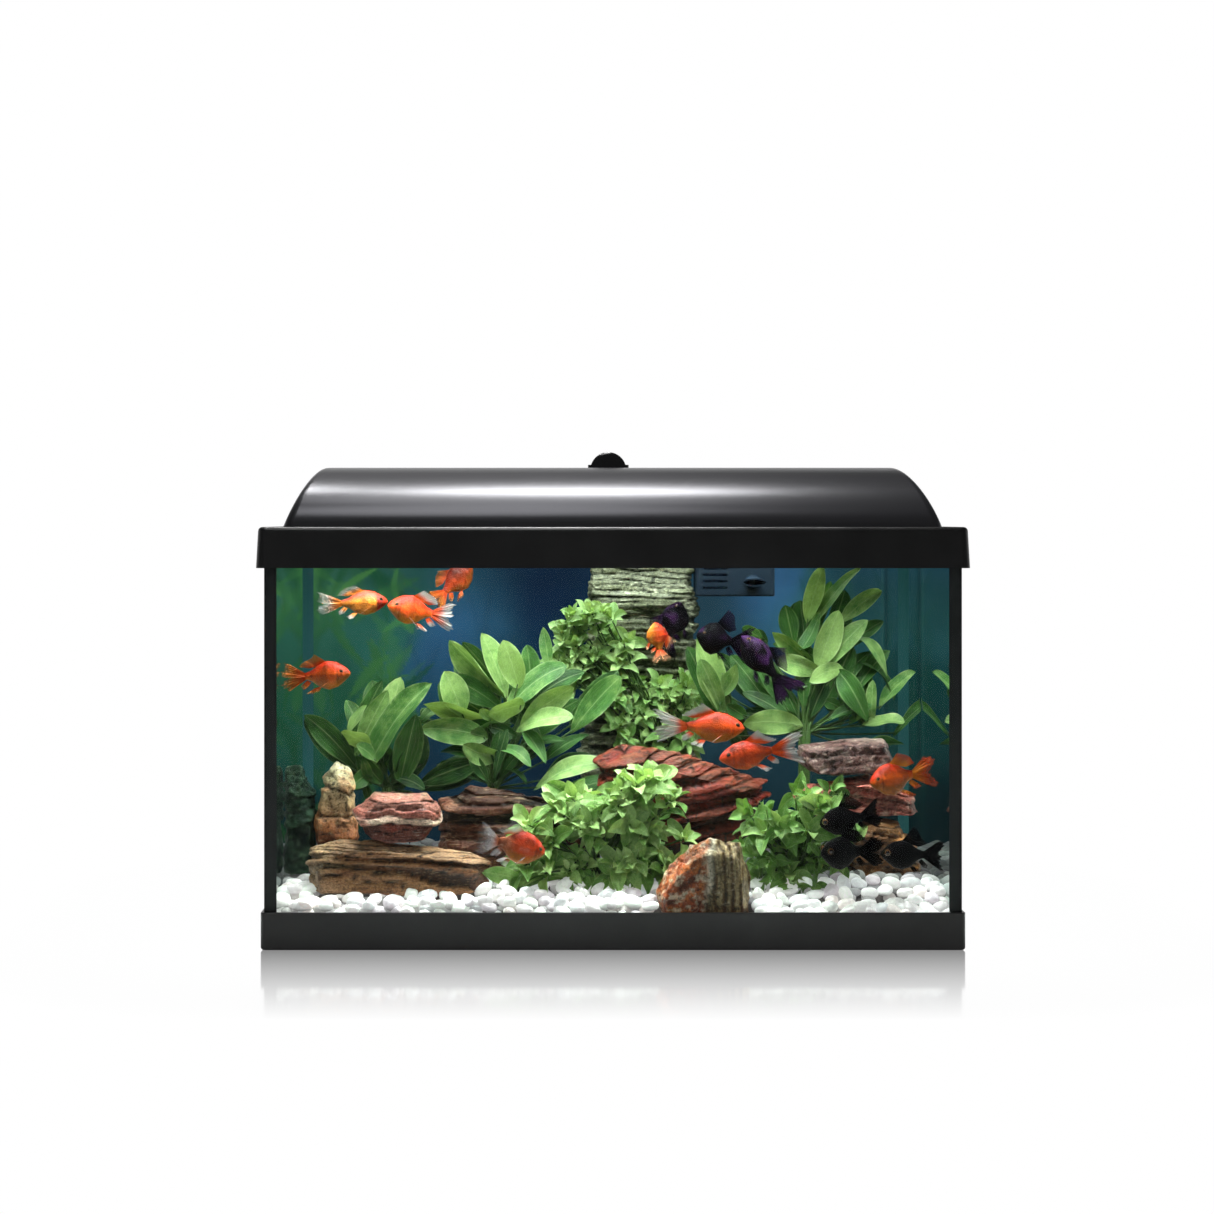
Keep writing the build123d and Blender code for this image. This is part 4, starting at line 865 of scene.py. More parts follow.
def pebble_places(rng):
    """Rows of x, y, z, radius, course: 0 against a pane, 1 and 2 on the bed's top."""
    low, high = BED_LO, BED_HI
    width, depth = high[0] - low[0], high[1] - low[1]
    base = low[2] + 0.004
    rocks = [box(n) for n in NODES if n.endswith("_rock")]
    split_lo, split_hi = box("split_rock")
    places = []

    def add(x, y, z, radius, course):
        # none where the standing stone reaches the front glass
        beside = split_lo[0] - 0.001 < x < split_hi[0] + 0.001 and y < split_hi[1] - 0.004
        if not (beside and z < split_lo[2] + 0.05):
            places.append((x, y, z, radius, course))

    def under_rock(x, y):
        return any(lo[0] + 0.012 < x < hi[0] - 0.012 and lo[1] + 0.010 < y < hi[1] - 0.010
                   and lo[2] < high[2] + 0.004 for lo, hi in rocks)

    # against the front glass: two sheets of stones lying on each other
    for spacing, inward in ((1.0, 0.0), (0.95, 0.0058)):
        for u, v, size in scatter(width - 0.006, 0.034, PEBBLE_GAP * spacing, 26000, rng, 1.5):
            x, z, radius = low[0] + 0.003 + u, base + v, size * 0.56
            y = low[1] + WALL_GAP + radius * 0.72 + inward
            if z < bed_top(x, y) - 0.0015:
                add(x, y, z, radius, 0)
    # left and right ends
    for u, v, size in scatter(depth - 0.008, 0.036, PEBBLE_GAP, 12000, rng, 1.5):
        inset = WALL_GAP + size * 0.42
        for x in (low[0] + inset, high[0] - inset):
            y, z = low[1] + 0.004 + u, base + v
            if z < bed_top(x, y):
                add(x, y, z, size * 0.56, 0)
    # rear
    for u, v, size in scatter(width - 0.008, 0.036, PEBBLE_GAP, 12000, rng, 1.5):
        x, y, z = low[0] + 0.004 + u, high[1] - WALL_GAP - size * 0.42, base + v
        if z < bed_top(x, y):
            add(x, y, z, size * 0.56, 0)
    # the bed's top, two courses
    for course, drop, spacing in ((1, 0.0052, 0.96), (2, 0.0, 1.06)):
        gap = PEBBLE_GAP * spacing
        for u, v, size in scatter(width - 0.012, depth - 0.012, gap, 26000, rng):
            x, y = low[0] + 0.006 + u, low[1] + 0.006 + v
            if not under_rock(x, y):
                z = bed_top(x, y) - drop - 0.0015 + rng.uniform(-0.0010, 0.0010)
                add(x, y, z, size * 0.57, course)
    places = np.array(places)
    # keep every stone inside the glass
    for axis, share in ((0, 0.9), (1, 0.72)):
        reach = places[:, 3] * share
        places[:, axis] = np.clip(places[:, axis], low[axis] + reach, high[axis] - reach)
    return places


def pebbles(mat):
    rng = np.random.default_rng(5)
    ball, faces = icosphere(3)
    shapes = []
    for k in range(30):
        size = np.array([1.16, rng.uniform(0.80, 1.0), rng.uniform(0.56, 0.74)])
        stone = ball * (1 + 0.14 * fbm(ball * 0.9 + k * 9.1, 2, k)[:, None])
        shapes.append(np.sign(stone) * np.abs(stone) ** 0.88 * size)
    places = pebble_places(rng)
    count = len(places)
    course = places[:, 4]
    # stones lie nearly flat, turned any way about the vertical
    yaw, tilt_x, tilt_y = (rng.uniform(0, 6.283, count), rng.normal(0, 0.34, count),
                           rng.normal(0, 0.34, count))
    tilt_x[course == 0] = rng.normal(0, 0.18, int((course == 0).sum()))
    tints = np.array([rgb(*tint) for tint in PEBBLE_TINTS])
    pick = rng.integers(0, len(tints), count)
    # painted shade: stones behind the rockwork darker, and the lower course darker still, in the upper
    # one's shade; the rest is a random tone
    shade = rng.uniform(0.84, 1.0, count) * rear_painted_shade(places[:, 1])
    shade = np.where(course == 1, shade * 0.55, shade)
    kind = rng.integers(0, len(shapes), count)
    per_object = 190000 // len(faces)
    for start in range(0, count, per_object):
        parts = []
        for i in range(start, min(count, start + per_object)):
            stone = turn(shapes[kind[i]], 1, 2, tilt_x[i])
            stone = turn(stone, 2, 0, tilt_y[i])
            stone = turn(stone, 0, 1, yaw[i])
            # painted shade: darker beneath, where stone meets stone
            height = stone[:, 2] / np.abs(stone[:, 2]).max()
            light = shade[i] * (0.30 + 0.70 * smooth(-0.9, -0.15, height))
            parts.append((stone * places[i, 3] + places[i, :3], faces, tints[pick[i]] * light[:, None]))
        verts, joined, colour = join_parts(parts)
        ob = mesh_object("pebbles_%d" % (start // per_object), verts, joined, mat, Col=colour)
        place(ob, "marble_pebbles", "gravel_bed")


def pebble_core(mat):
    """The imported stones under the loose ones, turned down at the rim."""
    across, along = 180, 90
    xs = np.linspace(BED_LO[0] + 0.010, BED_HI[0] - 0.010, across)
    ys = np.linspace(BED_LO[1] + 0.0135, BED_HI[1] - 0.010, along)
    x, y = grid_points(xs, ys)
    pts = np.stack([x, y, x * 0], 1)
    cell = np.abs(fbm(pts * 130, 2, 71))
    pts[:, 2] = bed_top(x, y) - 0.0085 - 0.003 * cell
    rim = (x < xs[1]) | (x > xs[-2]) | (y < ys[1]) | (y > ys[-2])
    pts[rim, 2] = BED_LO[2] + 0.002
    # painted shade: the under-stones are dark grey where the gaps between loose stones show, darker
    # still behind the rockwork
    colour = mix(rgb(96, 90, 88), rgb(50, 46, 46), cell) * rear_painted_shade(y)[:, None]
    ob = mesh_object("pebble_core", pts, grid_faces(across, along), mat, Col=colour)
    place(ob, "marble_pebbles", "gravel_bed")


MARBLE_GLOWING = marble()
pebbles(MARBLE_GLOWING)
pebble_core(MARBLE_GLOWING)


# ================================================================== plants
# Per plant: the root (across, up) and its leaves, places as fractions of the plant's box:
# tip across, up, depth; base across, up, depth; width mm; roll degrees; arch; tone, the leaf's green
# with painted light and shade
LEAVES = {"broadleaf_plant_left": ((0.739, 0.374), [
    (0.029, 0.746, 0.15, 0.435, 0.497, 0.30, 19.3, 20, 0.18, 0.22),
    (0.850, 0.925, 0.55, 0.715, 0.587, 0.45, 23.2, 15, 0.10, 0.95),
    (1.137, 0.907, 0.05, 0.643, 0.517, 0.30, 25.5, 25, 0.16, 0.55),
    (0.747, 0.866, 0.30, 0.491, 0.573, 0.40, 17.0, -25, 0.12, 0.70),
    (0.558, 0.787, 0.45, 0.410, 0.657, 0.45, 10.0, 30, 0.10, 0.85),
    (0.351, 0.663, 0.10, 0.568, 0.598, 0.25, 10.8, 70, 0.20, 0.95),
    (0.483, 0.600, 0.05, 0.631, 0.520, 0.20, 11.6, -20, 0.15, 0.60),
    (0.994, 0.749, 0.20, 0.865, 0.443, 0.40, 23.9, -18, 0.12, 0.35),
    (0.543, 0.531, 0.05, 0.594, 0.409, 0.25, 8.5, 10, 0.10, 0.50),
    (0.434, 0.379, 0.00, 0.565, 0.437, 0.30, 12.3, 35, 0.25, 0.40),
    (1.067, 0.365, 0.35, 0.830, 0.413, 0.40, 10.8, 30, 0.20, 0.15),
    (1.167, 0.759, 0.75, 1.032, 0.697, 0.60, 10.0, 20, 0.20, 0.50),
    (0.224, 0.595, 0.65, 0.462, 0.461, 0.45, 13.9, -30, 0.20, 0.20),
    (0.581, 0.902, 0.90, 0.647, 0.632, 0.60, 15.4, 30, 0.10, 0.30),
    (0.354, 0.802, 0.85, 0.507, 0.582, 0.60, 13.9, -20, 0.15, 0.45),
    (1.004, 0.557, 0.90, 0.809, 0.435, 0.50, 13.9, 25, 0.20, 0.30),
]), "broadleaf_plant_centre": ((0.353, 0.312), [
    (0.130, 0.952, 0.30, 0.374, 0.735, 0.45, 13.9, 66, 0.16, 0.75),
    (0.292, 0.980, 0.45, 0.409, 0.726, 0.50, 20.9, -18, 0.10, 0.85),
    (0.407, 0.955, 0.15, 0.476, 0.771, 0.40, 21.7, 12, 0.12, 1.00),
    (0.609, 1.003, 0.70, 0.640, 0.844, 0.60, 10.8, 20, 0.10, 0.60),
    (0.732, 0.840, 0.35, 0.466, 0.671, 0.45, 21.7, 24, 0.18, 0.55),
    (0.767, 0.754, 0.15, 0.528, 0.594, 0.40, 19.4, -24, 0.16, 0.85),
    (0.767, 0.628, 0.05, 0.512, 0.566, 0.35, 17.0, 20, 0.14, 0.90),
    (0.107, 0.822, 0.15, 0.190, 0.642, 0.40, 24.8, -12, 0.10, 0.90),
    (0.126, 0.785, 0.55, 0.368, 0.665, 0.50, 18.6, 32, 0.18, 0.35),
    (0.206, 0.825, 0.75, 0.322, 0.716, 0.55, 15.5, 20, 0.15, 0.12),
    (-0.014, 0.576, 0.10, 0.283, 0.536, 0.35, 21.7, 26, 0.14, 0.65),
    (-0.002, 0.678, 0.30, 0.287, 0.610, 0.45, 13.9, 65, 0.12, 0.95),
    (0.332, 0.633, 0.05, 0.492, 0.670, 0.30, 12.4, 62, 0.22, 0.95),
    (0.206, 0.515, 0.00, 0.386, 0.474, 0.25, 13.9, 40, -0.45, 0.75),
    (0.328, 0.582, 0.40, 0.461, 0.539, 0.40, 11.6, 25, 0.10, 0.12),
    (0.625, 0.427, 0.10, 0.518, 0.553, 0.35, 13.9, 22, 0.12, 0.45),
    (0.550, 0.417, 0.00, 0.411, 0.474, 0.25, 11.6, 30, 0.30, 0.55),
    (0.964, 0.430, 0.00, 0.615, 0.323, 0.30, 17.0, 28, 0.20, 0.85),
    (1.009, 0.794, 0.50, 0.784, 0.578, 0.55, 21.7, -16, 0.10, 0.55),
    (0.480, 0.689, 0.60, 0.573, 0.605, 0.50, 11.6, 20, 0.10, 0.10),
    (-0.019, 0.334, 0.35, 0.266, 0.417, 0.45, 17.0, 35, 0.12, 0.12),
    (0.289, 0.659, 0.20, 0.344, 0.609, 0.35, 8.5, 20, 0.10, 0.80),
    (0.152, 0.878, 0.90, 0.285, 0.688, 0.65, 17.0, 25, 0.15, 0.25),
    (0.541, 0.900, 0.90, 0.532, 0.710, 0.65, 17.0, -25, 0.12, 0.30),
    (0.851, 0.535, 0.70, 0.635, 0.431, 0.55, 15.5, 25, 0.15, 0.30),
    (0.077, 0.460, 0.75, 0.286, 0.431, 0.55, 15.5, -25, 0.15, 0.25),
]), "broadleaf_plant_right": ((0.495, 0.419), [
    (0.577, 0.978, 0.45, 0.517, 0.810, 0.50, 16.4, 18, 0.08, 0.90),
    (0.619, 0.926, 0.75, 0.559, 0.795, 0.60, 13.3, -20, 0.08, 0.50),
    (0.746, 0.971, 0.60, 0.557, 0.796, 0.55, 11.7, 38, 0.12, 0.70),
    (0.835, 0.894, 0.50, 0.675, 0.796, 0.55, 14.9, 20, 0.12, 0.75),
    (0.637, 0.832, 0.10, 0.560, 0.657, 0.30, 24.3, -14, 0.10, 0.95),
    (0.767, 0.798, 0.25, 0.610, 0.656, 0.40, 16.4, 20, 0.12, 0.75),
    (0.413, 0.847, 0.50, 0.448, 0.722, 0.50, 15.7, 22, 0.10, 0.30),
    (0.471, 0.698, 0.20, 0.550, 0.804, 0.40, 13.3, -25, -0.20, 0.50),
    (0.351, 0.758, 0.25, 0.507, 0.662, 0.45, 11.7, 48, 0.14, 0.70),
    (0.357, 0.669, 0.10, 0.561, 0.616, 0.35, 13.3, 42, 0.12, 0.85),
    (0.229, 0.768, 0.70, 0.302, 0.735, 0.60, 10.2, 30, 0.15, 0.40),
    (0.846, 0.608, 0.15, 0.716, 0.719, 0.45, 12.5, 38, 0.35, 0.70),
    (0.977, 0.623, 0.35, 0.842, 0.511, 0.45, 11.0, 50, 0.15, 0.65),
    (0.925, 0.457, 0.20, 0.761, 0.439, 0.35, 11.7, 52, 0.12, 0.85),
    (0.506, 0.593, 0.00, 0.641, 0.627, 0.25, 13.3, 35, 0.30, 0.95),
    (0.761, 0.460, 0.05, 0.650, 0.604, 0.25, 18.8, -28, 0.40, 0.35),
    (0.785, 0.516, 0.30, 0.701, 0.455, 0.40, 11.0, 25, 0.10, 0.50),
    (0.794, 0.595, 0.45, 0.790, 0.467, 0.45, 9.4, 30, 0.08, 0.70),
    (0.027, 0.737, 0.30, 0.134, 0.508, 0.45, 23.5, -14, 0.08, 0.90),
    (0.038, 0.669, 0.10, 0.132, 0.502, 0.35, 16.4, 24, 0.10, 0.70),
    (0.197, 0.653, 0.05, 0.136, 0.563, 0.30, 13.3, 40, -0.30, 0.80),
    (0.179, 0.675, 0.85, 0.342, 0.505, 0.65, 20.4, 20, 0.12, 0.40),
    (0.222, 0.453, 0.05, 0.452, 0.443, 0.30, 20.4, 22, 0.14, 0.85),
    (0.152, 0.514, 0.20, 0.228, 0.475, 0.35, 11.7, 25, 0.10, 0.40),
    (0.573, 0.530, 0.30, 0.641, 0.505, 0.40, 10.2, 25, 0.10, 0.40),
    (0.686, 0.895, 0.95, 0.613, 0.727, 0.70, 15.7, -22, 0.10, 0.30),
    (0.284, 0.661, 0.60, 0.392, 0.526, 0.55, 18.8, -24, 0.12, 0.30),
    (0.487, 0.861, 0.90, 0.507, 0.694, 0.65, 17.2, 18, 0.10, 0.25),
    (0.879, 0.692, 0.80, 0.733, 0.559, 0.60, 15.7, 22, 0.15, 0.35),
    (0.100, 0.557, 0.80, 0.227, 0.431, 0.60, 17.2, 25, 0.12, 0.25),
])}


def leaf_material(name, dark, mid, light, edge, cross, margin):
    """Waxy leaf. Leaf.r is the distance from the midrib, .g the way along, .b the tone, the leaf's
    green with painted light and shade.
    """
    m = new_material(name)
    edge = rgb(*edge)
    side, along, tone = list(m.attr_parts("Leaf"))[:3]
    mottle = m.noise(110.0, detail=5.0)
    fine = m.noise(700.0, detail=3.0)
    c = m.ramp(m.math("ADD", tone, m.remap(mottle, to=(-0.20, 0.20))),
               [(0.0, rgb(*dark)), (0.5, rgb(*mid)), (1.0, rgb(*light))])
    # veins run the length of the blade and close up at both ends, with short ties between
    long_veins = m.remap(m.ripple(m.math("MULTIPLY", side, 4.0)), span=(0.0, 0.14), to=(1.0, 0.0))
    slant = m.math("SUBTRACT", m.math("MULTIPLY", along, 15.0), m.math("MULTIPLY", side, 2.2))
    ties = m.math("MULTIPLY", m.remap(m.ripple(slant), span=(0.0, 0.12), to=(1.0, 0.0)), cross)
    rib = m.remap(side, span=(0.015, 0.07), to=(1.0, 0.0))
    veins = m.math("MAXIMUM", m.math("MAXIMUM", m.math("MULTIPLY", long_veins, 0.30), ties), rib)
    pale = m.mixc(0.5, c, edge)
    c = m.mixc(m.math("MULTIPLY", veins, 0.55), c, pale)
    rim = m.remap(m.math("ADD", side, m.remap(mottle, to=(-0.06, 0.06))),
                  span=(0.90, 0.99), to=(0.0, margin))
    c = m.mixc(m.math("MULTIPLY", rim, m.remap(tone, span=(0.2, 0.9), to=(0.3, 1.0))), c, edge)
    c = m.shade(c, m.remap(fine, span=(0.35, 0.65), to=(0.86, 1.1)))
    back = m.add("NewGeometry").outputs["Backfacing"]
    c = m.tinge(m.math("MULTIPLY", back, 0.4), c, (0.75, 0.82, 0.75))
    relief = m.bump(veins, strength=0.35, distance=0.0004)
    relief = m.bump(mottle, strength=0.35, distance=0.0006, Normal=relief)
    wax = m.principled(Base_Color=c, Roughness=m.remap(mottle, to=(0.357, 0.525)),
                       Normal=relief, Specular_IOR_Level=0.35)
    through = m.make("BsdfTranslucent", Color=m.times(c, (1.0, 1.0, 0.5)))
    return m.done(m.mix_shader(0.25, wax, through))


BROAD_LEAF = leaf_material("leaf_green", dark=(18, 46, 18), mid=(58, 98, 44), light=(130, 158, 92),
                           edge=(176, 194, 140), cross=0.0, margin=0.5)
BUSH_LEAF = leaf_material("leaf_green_small", dark=(20, 46, 18), mid=(98, 140, 66),
                          light=(168, 196, 126), edge=(196, 214, 150), cross=0.3, margin=0.7)
STEM = plastic("leaf_stem", rgb(52, 74, 34), rough=0.5, grain=500, depth=0.0001, var=0.4)


def unit(vector):
    return vector / np.linalg.norm(vector)


def unit_rows(vectors):
    return vectors / np.linalg.norm(vectors, axis=1)[:, None]


def bezier(start, middle, end, t):
    t = t[:, None]
    return (1 - t) ** 2 * start + 2 * t * (1 - t) * middle + t * t * end


def leaf_mesh(base, tip, width, roll, arch, tone, rng, cols=9, rows=20, power=(0.62, 0.85),
              wavy=0.06, cup=0.22, face=(0.0, -1.0, 0.35)):
    """One blade and its direction at the base.

    arch bows the midrib, roll (degrees) turns the blade about it, cup folds it; power shapes
    the outline at base and tip, wavy ruffles the rim, face is the way the blade looks.
    """
    axis = tip - base
    length = np.linalg.norm(axis)
    axis = axis / length
    flat = np.cross(axis, unit(np.array(face)))
    if np.linalg.norm(flat) < 0.2:
        flat = np.cross(axis, np.array([1.0, 0.2, 0.1]))
    flat = unit(flat)
    angle = math.radians(roll)
    side = flat * math.cos(angle) + np.cross(flat, axis) * math.sin(angle)
    normal = np.cross(side, axis)
    v = np.linspace(0, 1, rows)
    bow = (normal * 0.5 + np.array([0, 0, 0.8])) * arch * length
    midrib = bezier(base, base + axis * length * 0.5 + bow, tip, v)
    tangent = unit_rows(np.gradient(midrib, axis=0))
    outline = (v ** power[0]) * ((1 - v) ** power[1])
    outline = outline / outline.max() * width / 2
    sides = unit_rows(side[None] - tangent * (tangent @ side)[:, None])
    normals = np.cross(sides, tangent)
    phase = rng.uniform(0, 6.28)
    twist = rng.uniform(-0.35, 0.35) * v
    us = np.linspace(-1, 1, cols)
    pts = np.zeros((rows, cols, 3))
    for i, u in enumerate(us):
        out = abs(u)
        ruffle = np.sin(v * rng.uniform(7, 10) + phase + (2.0 if u > 0 else 0)) * (outline > 0)
        lift = cup * out ** 1.5 * outline + wavy * width * out ** 2 * ruffle
        # the blade lifts a little between its side veins
        quilt = 0.008 * width * np.sin((v * 11.0 - out * 1.7) * 2 * np.pi) * (1 - out) * (out > 0.05)
        pts[:, i] = (midrib + sides * (u * outline * np.cos(twist))[:, None]
                     + normals * (u * outline * np.sin(twist) + lift + quilt)[:, None])
    u, v = grid_points(np.abs(us), v)
    data = np.stack([u, v, np.full(u.size, tone)], 1)
    return (pts.reshape(-1, 3), grid_faces(cols, rows), data), tangent[0]


def tube(path, start_radius, end_radius, sides):
    tangent = np.gradient(path, axis=0)
    tangent /= np.maximum(np.linalg.norm(tangent, axis=1)[:, None], 1e-9)
    across = unit_rows(np.cross(tangent, np.array([0.31, 0.87, 0.2])))
    other = np.cross(tangent, across)
    radius = np.linspace(start_radius, end_radius, len(path))[:, None, None]
    angle = (np.arange(sides) * 2 * np.pi / sides)[None, :, None]
    pts = path[:, None] + radius * (np.cos(angle) * across[:, None] + np.sin(angle) * other[:, None])
    return pts.reshape(-1, 3), grid_faces(sides, len(path), wrap=True)


def in_glass(verts):
    """Leaves bend against the panes, they don't pass them."""
    gap = 0.0008
    verts[:, :2] = np.clip(verts[:, :2], INNER_LO + gap, INNER_HI - gap)
    return verts


def place_plant(node, blades, stems, leaf):
    verts, faces, data = join_parts(blades)
    ob = mesh_object(node + "_leaves", in_glass(verts), faces, leaf, Leaf=data)
    place(ob, "leaf_green", node)
    verts, faces = join_parts(stems)
    place(mesh_object(node + "_stems", in_glass(verts), faces, STEM), "leaf_green", node)


def broadleaf(node, seed):
    rng = np.random.default_rng(seed)
    low, high = box(node)
    span = high - low
    (root_x, root_z), measured = LEAVES[node]
    root = low + span * np.array([root_x, 0.5, root_z])
    foot = np.array([root[0], root[1], low[2]])
    rows = list(measured)
    # a second rank of shaded leaves behind
    for tx, tz, td, bx, bz, bd, width, roll, arch, tone in measured:
        jx, jz = rng.normal(0, 0.07), rng.normal(-0.05, 0.05)
        rows.append((min(1.08, max(-0.05, tx + jx)), min(0.97, tz + jz), min(0.98, td + 0.40),
                     bx + jx * 0.6, bz + jz, min(0.95, bd + 0.25),
                     width * 0.9, roll + rng.normal(0, 16), arch, tone * 0.40))
    # a skirt of small leaves about the stems, painted dark as shade
    for _ in range(12):
        angle = rng.uniform(-1.3, 1.3)
        near, far = rng.uniform(0.06, 0.16), rng.uniform(0.20, 0.34)
        depth = rng.uniform(0.2, 0.9)
        rows.append((root_x + math.sin(angle) * far * 1.1, root_z + math.cos(angle) * far * 0.8,
                     depth, root_x + math.sin(angle) * near, root_z + math.cos(angle) * near * 0.8,
                     depth, rng.uniform(9, 15), rng.uniform(-40, 40), 0.15, rng.uniform(0.0, 0.35)))
    blades, stems = [], []
    for tx, tz, td, bx, bz, bd, width, roll, arch, tone in rows:
        tip = low + span * np.array([tx, td, tz])
        base = low + span * np.array([bx, bd, bz])
        base = base + (base - tip) * 0.16
        power = (rng.uniform(0.70, 1.0), rng.uniform(0.60, 0.85))
        # widened to make up for the roll
        width = 0.90 * width * MM / max(0.45, math.cos(math.radians(roll)))
        blade, heading = leaf_mesh(base, tip, width, roll + rng.uniform(-6, 6), arch, tone, rng,
                                   power=power, cup=rng.uniform(0.12, 0.4))
        blades.append(blade)
        length = np.linalg.norm(base - root)
        start = root + np.array([rng.uniform(-0.004, 0.004), rng.uniform(-0.005, 0.005), 0])
        sway = np.array([rng.uniform(-0.1, 0.1), rng.uniform(-0.06, 0.06), 0.08])
        bow = (start + base) / 2 + sway * length - heading * length * 0.12
        rise = np.linspace(foot + (start - root) * 0.6, start, 6)[:-1]
        bend = bezier(start, bow, base + heading * 0.004, np.linspace(0, 1, 14))
        stems.append(tube(np.concatenate([rise, bend]), 0.00115, 0.0006, sides=6))
    place_plant(node, blades, stems, BROAD_LEAF)


def inside(outline, x, z):
    """Whether a point lies in a closed outline."""
    odd = False
    for (ax, az), (bx, bz) in zip(outline, outline[-1:] + outline[:-1]):
        if (az > z) != (bz > z) and x < (bx - ax) * (z - az) / (bz - az) + ax:
            odd = not odd
    return odd


def bush(node, outline, shoots, size, seed, root, tone, extra=()):
    """Leafy shoots, each ending in a whorl, filling an outline in fractions of the node's box.

    size: leaf length range in mm; root: across, up; tone: leaf tone range, with painted light and
    shade;
    extra: single leaves, one row each of tip across, up, depth; base across, up, depth; width mm; roll
    degrees; tone.
    """
    rng = np.random.default_rng(seed)
    low, high = box(node)
    span = high - low
    blades, stems = [], []
    foot = low + span * np.array([root[0], 0.5, root[1]])
    middle = sum(point[0] for point in outline) / len(outline)
    heights = [point[1] for point in outline]
    while len(stems) < shoots:
        x, z = rng.uniform(-0.1, 1.1), rng.uniform(-0.15, 1.05)
        if not inside(outline, x, z):
            continue
        depth = rng.beta(1.0, 1.5)
        head = low + span * np.array([x, depth, z])
        axis = np.array([(x - middle) * 1.3, -0.45 + (depth - 0.5) * 0.9, 0.62 + (z - 0.4) * 0.5])
        axis = unit(axis + rng.normal(0, 0.26, 3))
        across = unit(np.cross(axis, np.array([0.3, 0.8, 0.1])))
        other = np.cross(axis, across)
        up = (z - min(heights)) / (max(heights) - min(heights))
        # painted light and shade: shoots at the front and near the top lighter, those behind darker
        lit = np.clip(0.12 + 0.50 * (1 - depth) + 0.38 * up + rng.uniform(-0.22, 0.22), 0, 1)
        big = rng.uniform(*size)
        first_angle = rng.uniform(0, 6.28)
        whorl = int(rng.integers(6, 9))
        for k in range(whorl):
            # the last leaves of a whorl are the youngest: smaller, paler and more upright
            young = k / (whorl - 1.0)
            angle = first_angle + k * 2.4
            pitch = math.radians(82 - 52 * young + rng.uniform(-12, 12))
            around = math.cos(angle) * across + math.sin(angle) * other
            out = math.cos(pitch) * axis + math.sin(pitch) * around
            out = unit(out + np.array([0, 0, -0.18 * (1 - young)]))
            length = big * (1.0 - 0.45 * young) * rng.uniform(0.85, 1.15) * MM
            base = head - axis * (1 - young) * 0.006
            light = np.clip(lit * 0.85 + 0.30 * young + rng.uniform(-0.14, 0.14), 0, 1)
            blade, _ = leaf_mesh(
                base + out * 0.0015, base + out * (length + 0.0015),
                width=length * rng.uniform(0.46, 0.62), roll=rng.uniform(-22, 22),
                arch=rng.uniform(0.10, 0.30), tone=tone[0] + (tone[1] - tone[0]) * light, rng=rng,
                cols=7, rows=9, power=(rng.uniform(0.5, 0.65), rng.uniform(0.85, 1.05)),
                wavy=0.07, cup=rng.uniform(0.2, 0.55), face=axis)
            blades.append(blade)
        bow = foot + (head - foot) * 0.5 + np.array([rng.normal(0, 0.004), rng.normal(0, 0.004), 0.006])
        start = foot + rng.normal(0, 0.002, 3) * np.array([1, 1, 0])
        path = bezier(start, bow, head, np.linspace(0, 1, 12))
        stems.append(tube(path, 0.0010, 0.0006, sides=5))
    for tx, tz, td, bx, bz, bd, width, roll, leaf_tone in extra:
        base, tip = (low + span * np.array(point) for point in ((bx, bd, bz), (tx, td, tz)))
        blades.append(leaf_mesh(base, tip, width * MM, roll, 0.1, leaf_tone, rng, cols=5, rows=9)[0])
    place_plant(node, blades, stems, BUSH_LEAF)


broadleaf("broadleaf_plant_left", seed=31)
broadleaf("broadleaf_plant_centre", seed=32)
broadleaf("broadleaf_plant_right", seed=33)
bush("bush_plant_front", [
    (0.077, 0.051), (0.077, 0.244), (0.114, 0.505), (0.210, 0.679), (0.290, 0.776),
    (0.493, 0.805), (0.627, 0.950), (0.675, 0.998), (0.814, 0.911), (0.904, 0.786),
    (0.952, 0.447), (1.006, 0.302), (0.947, 0.109), (0.851, -0.065), (0.466, -0.142),
    (0.386, -0.074), (0.226, 0.032),
], shoots=84, size=(16, 25), seed=43, root=(0.525, 0.0), tone=(0.1, 1.0), extra=(
    (-0.122, 0.069, 0.05, 0.089, -0.020, 0.20, 13.4, 30, 0.55),
    (0.016, -0.170, 0.05, 0.158, -0.020, 0.20, 5.2, 40, 0.10),
    (0.079, -0.089, 0.00, 0.216, 0.027, 0.10, 6.7, 35, 0.30),
))
bush("bush_plant_right", [
    (0.064, 0.234), (0.046, 0.420), (0.154, 0.644), (0.317, 0.718), (0.462, 0.700),
    (0.562, 0.774), (0.697, 0.848), (0.888, 0.793), (1.005, 0.644), (1.023, 0.420),
    (0.969, 0.179), (0.897, -0.026), (0.589, -0.138), (0.263, -0.138), (0.118, 0.011),
], shoots=50, size=(15, 23), seed=44, root=(0.544, 0.0), tone=(0.0, 0.72), extra=(
    (0.536, 0.730, 0.00, 0.867, 0.666, 0.15, 13.4, 20, 1.00),
    (1.178, 0.485, 0.10, 1.077, 0.330, 0.20, 6.7, 20, 0.90),
))
bush("bush_plant_tower", [
    (-0.101, 0.822), (-0.077, 0.938), (0.053, 1.028), (0.201, 1.016), (0.331, 0.951),
    (0.384, 0.822), (0.366, 0.681), (0.497, 0.616), (0.698, 0.591), (0.792, 0.436),
    (0.780, 0.243), (0.674, 0.076), (0.497, 0.076), (0.331, 0.179), (0.236, 0.333),
    (0.201, 0.501), (0.035, 0.533), (-0.083, 0.668),
], shoots=135, size=(12, 19), seed=45, root=(0.603, 0.069), tone=(0.1, 0.95))


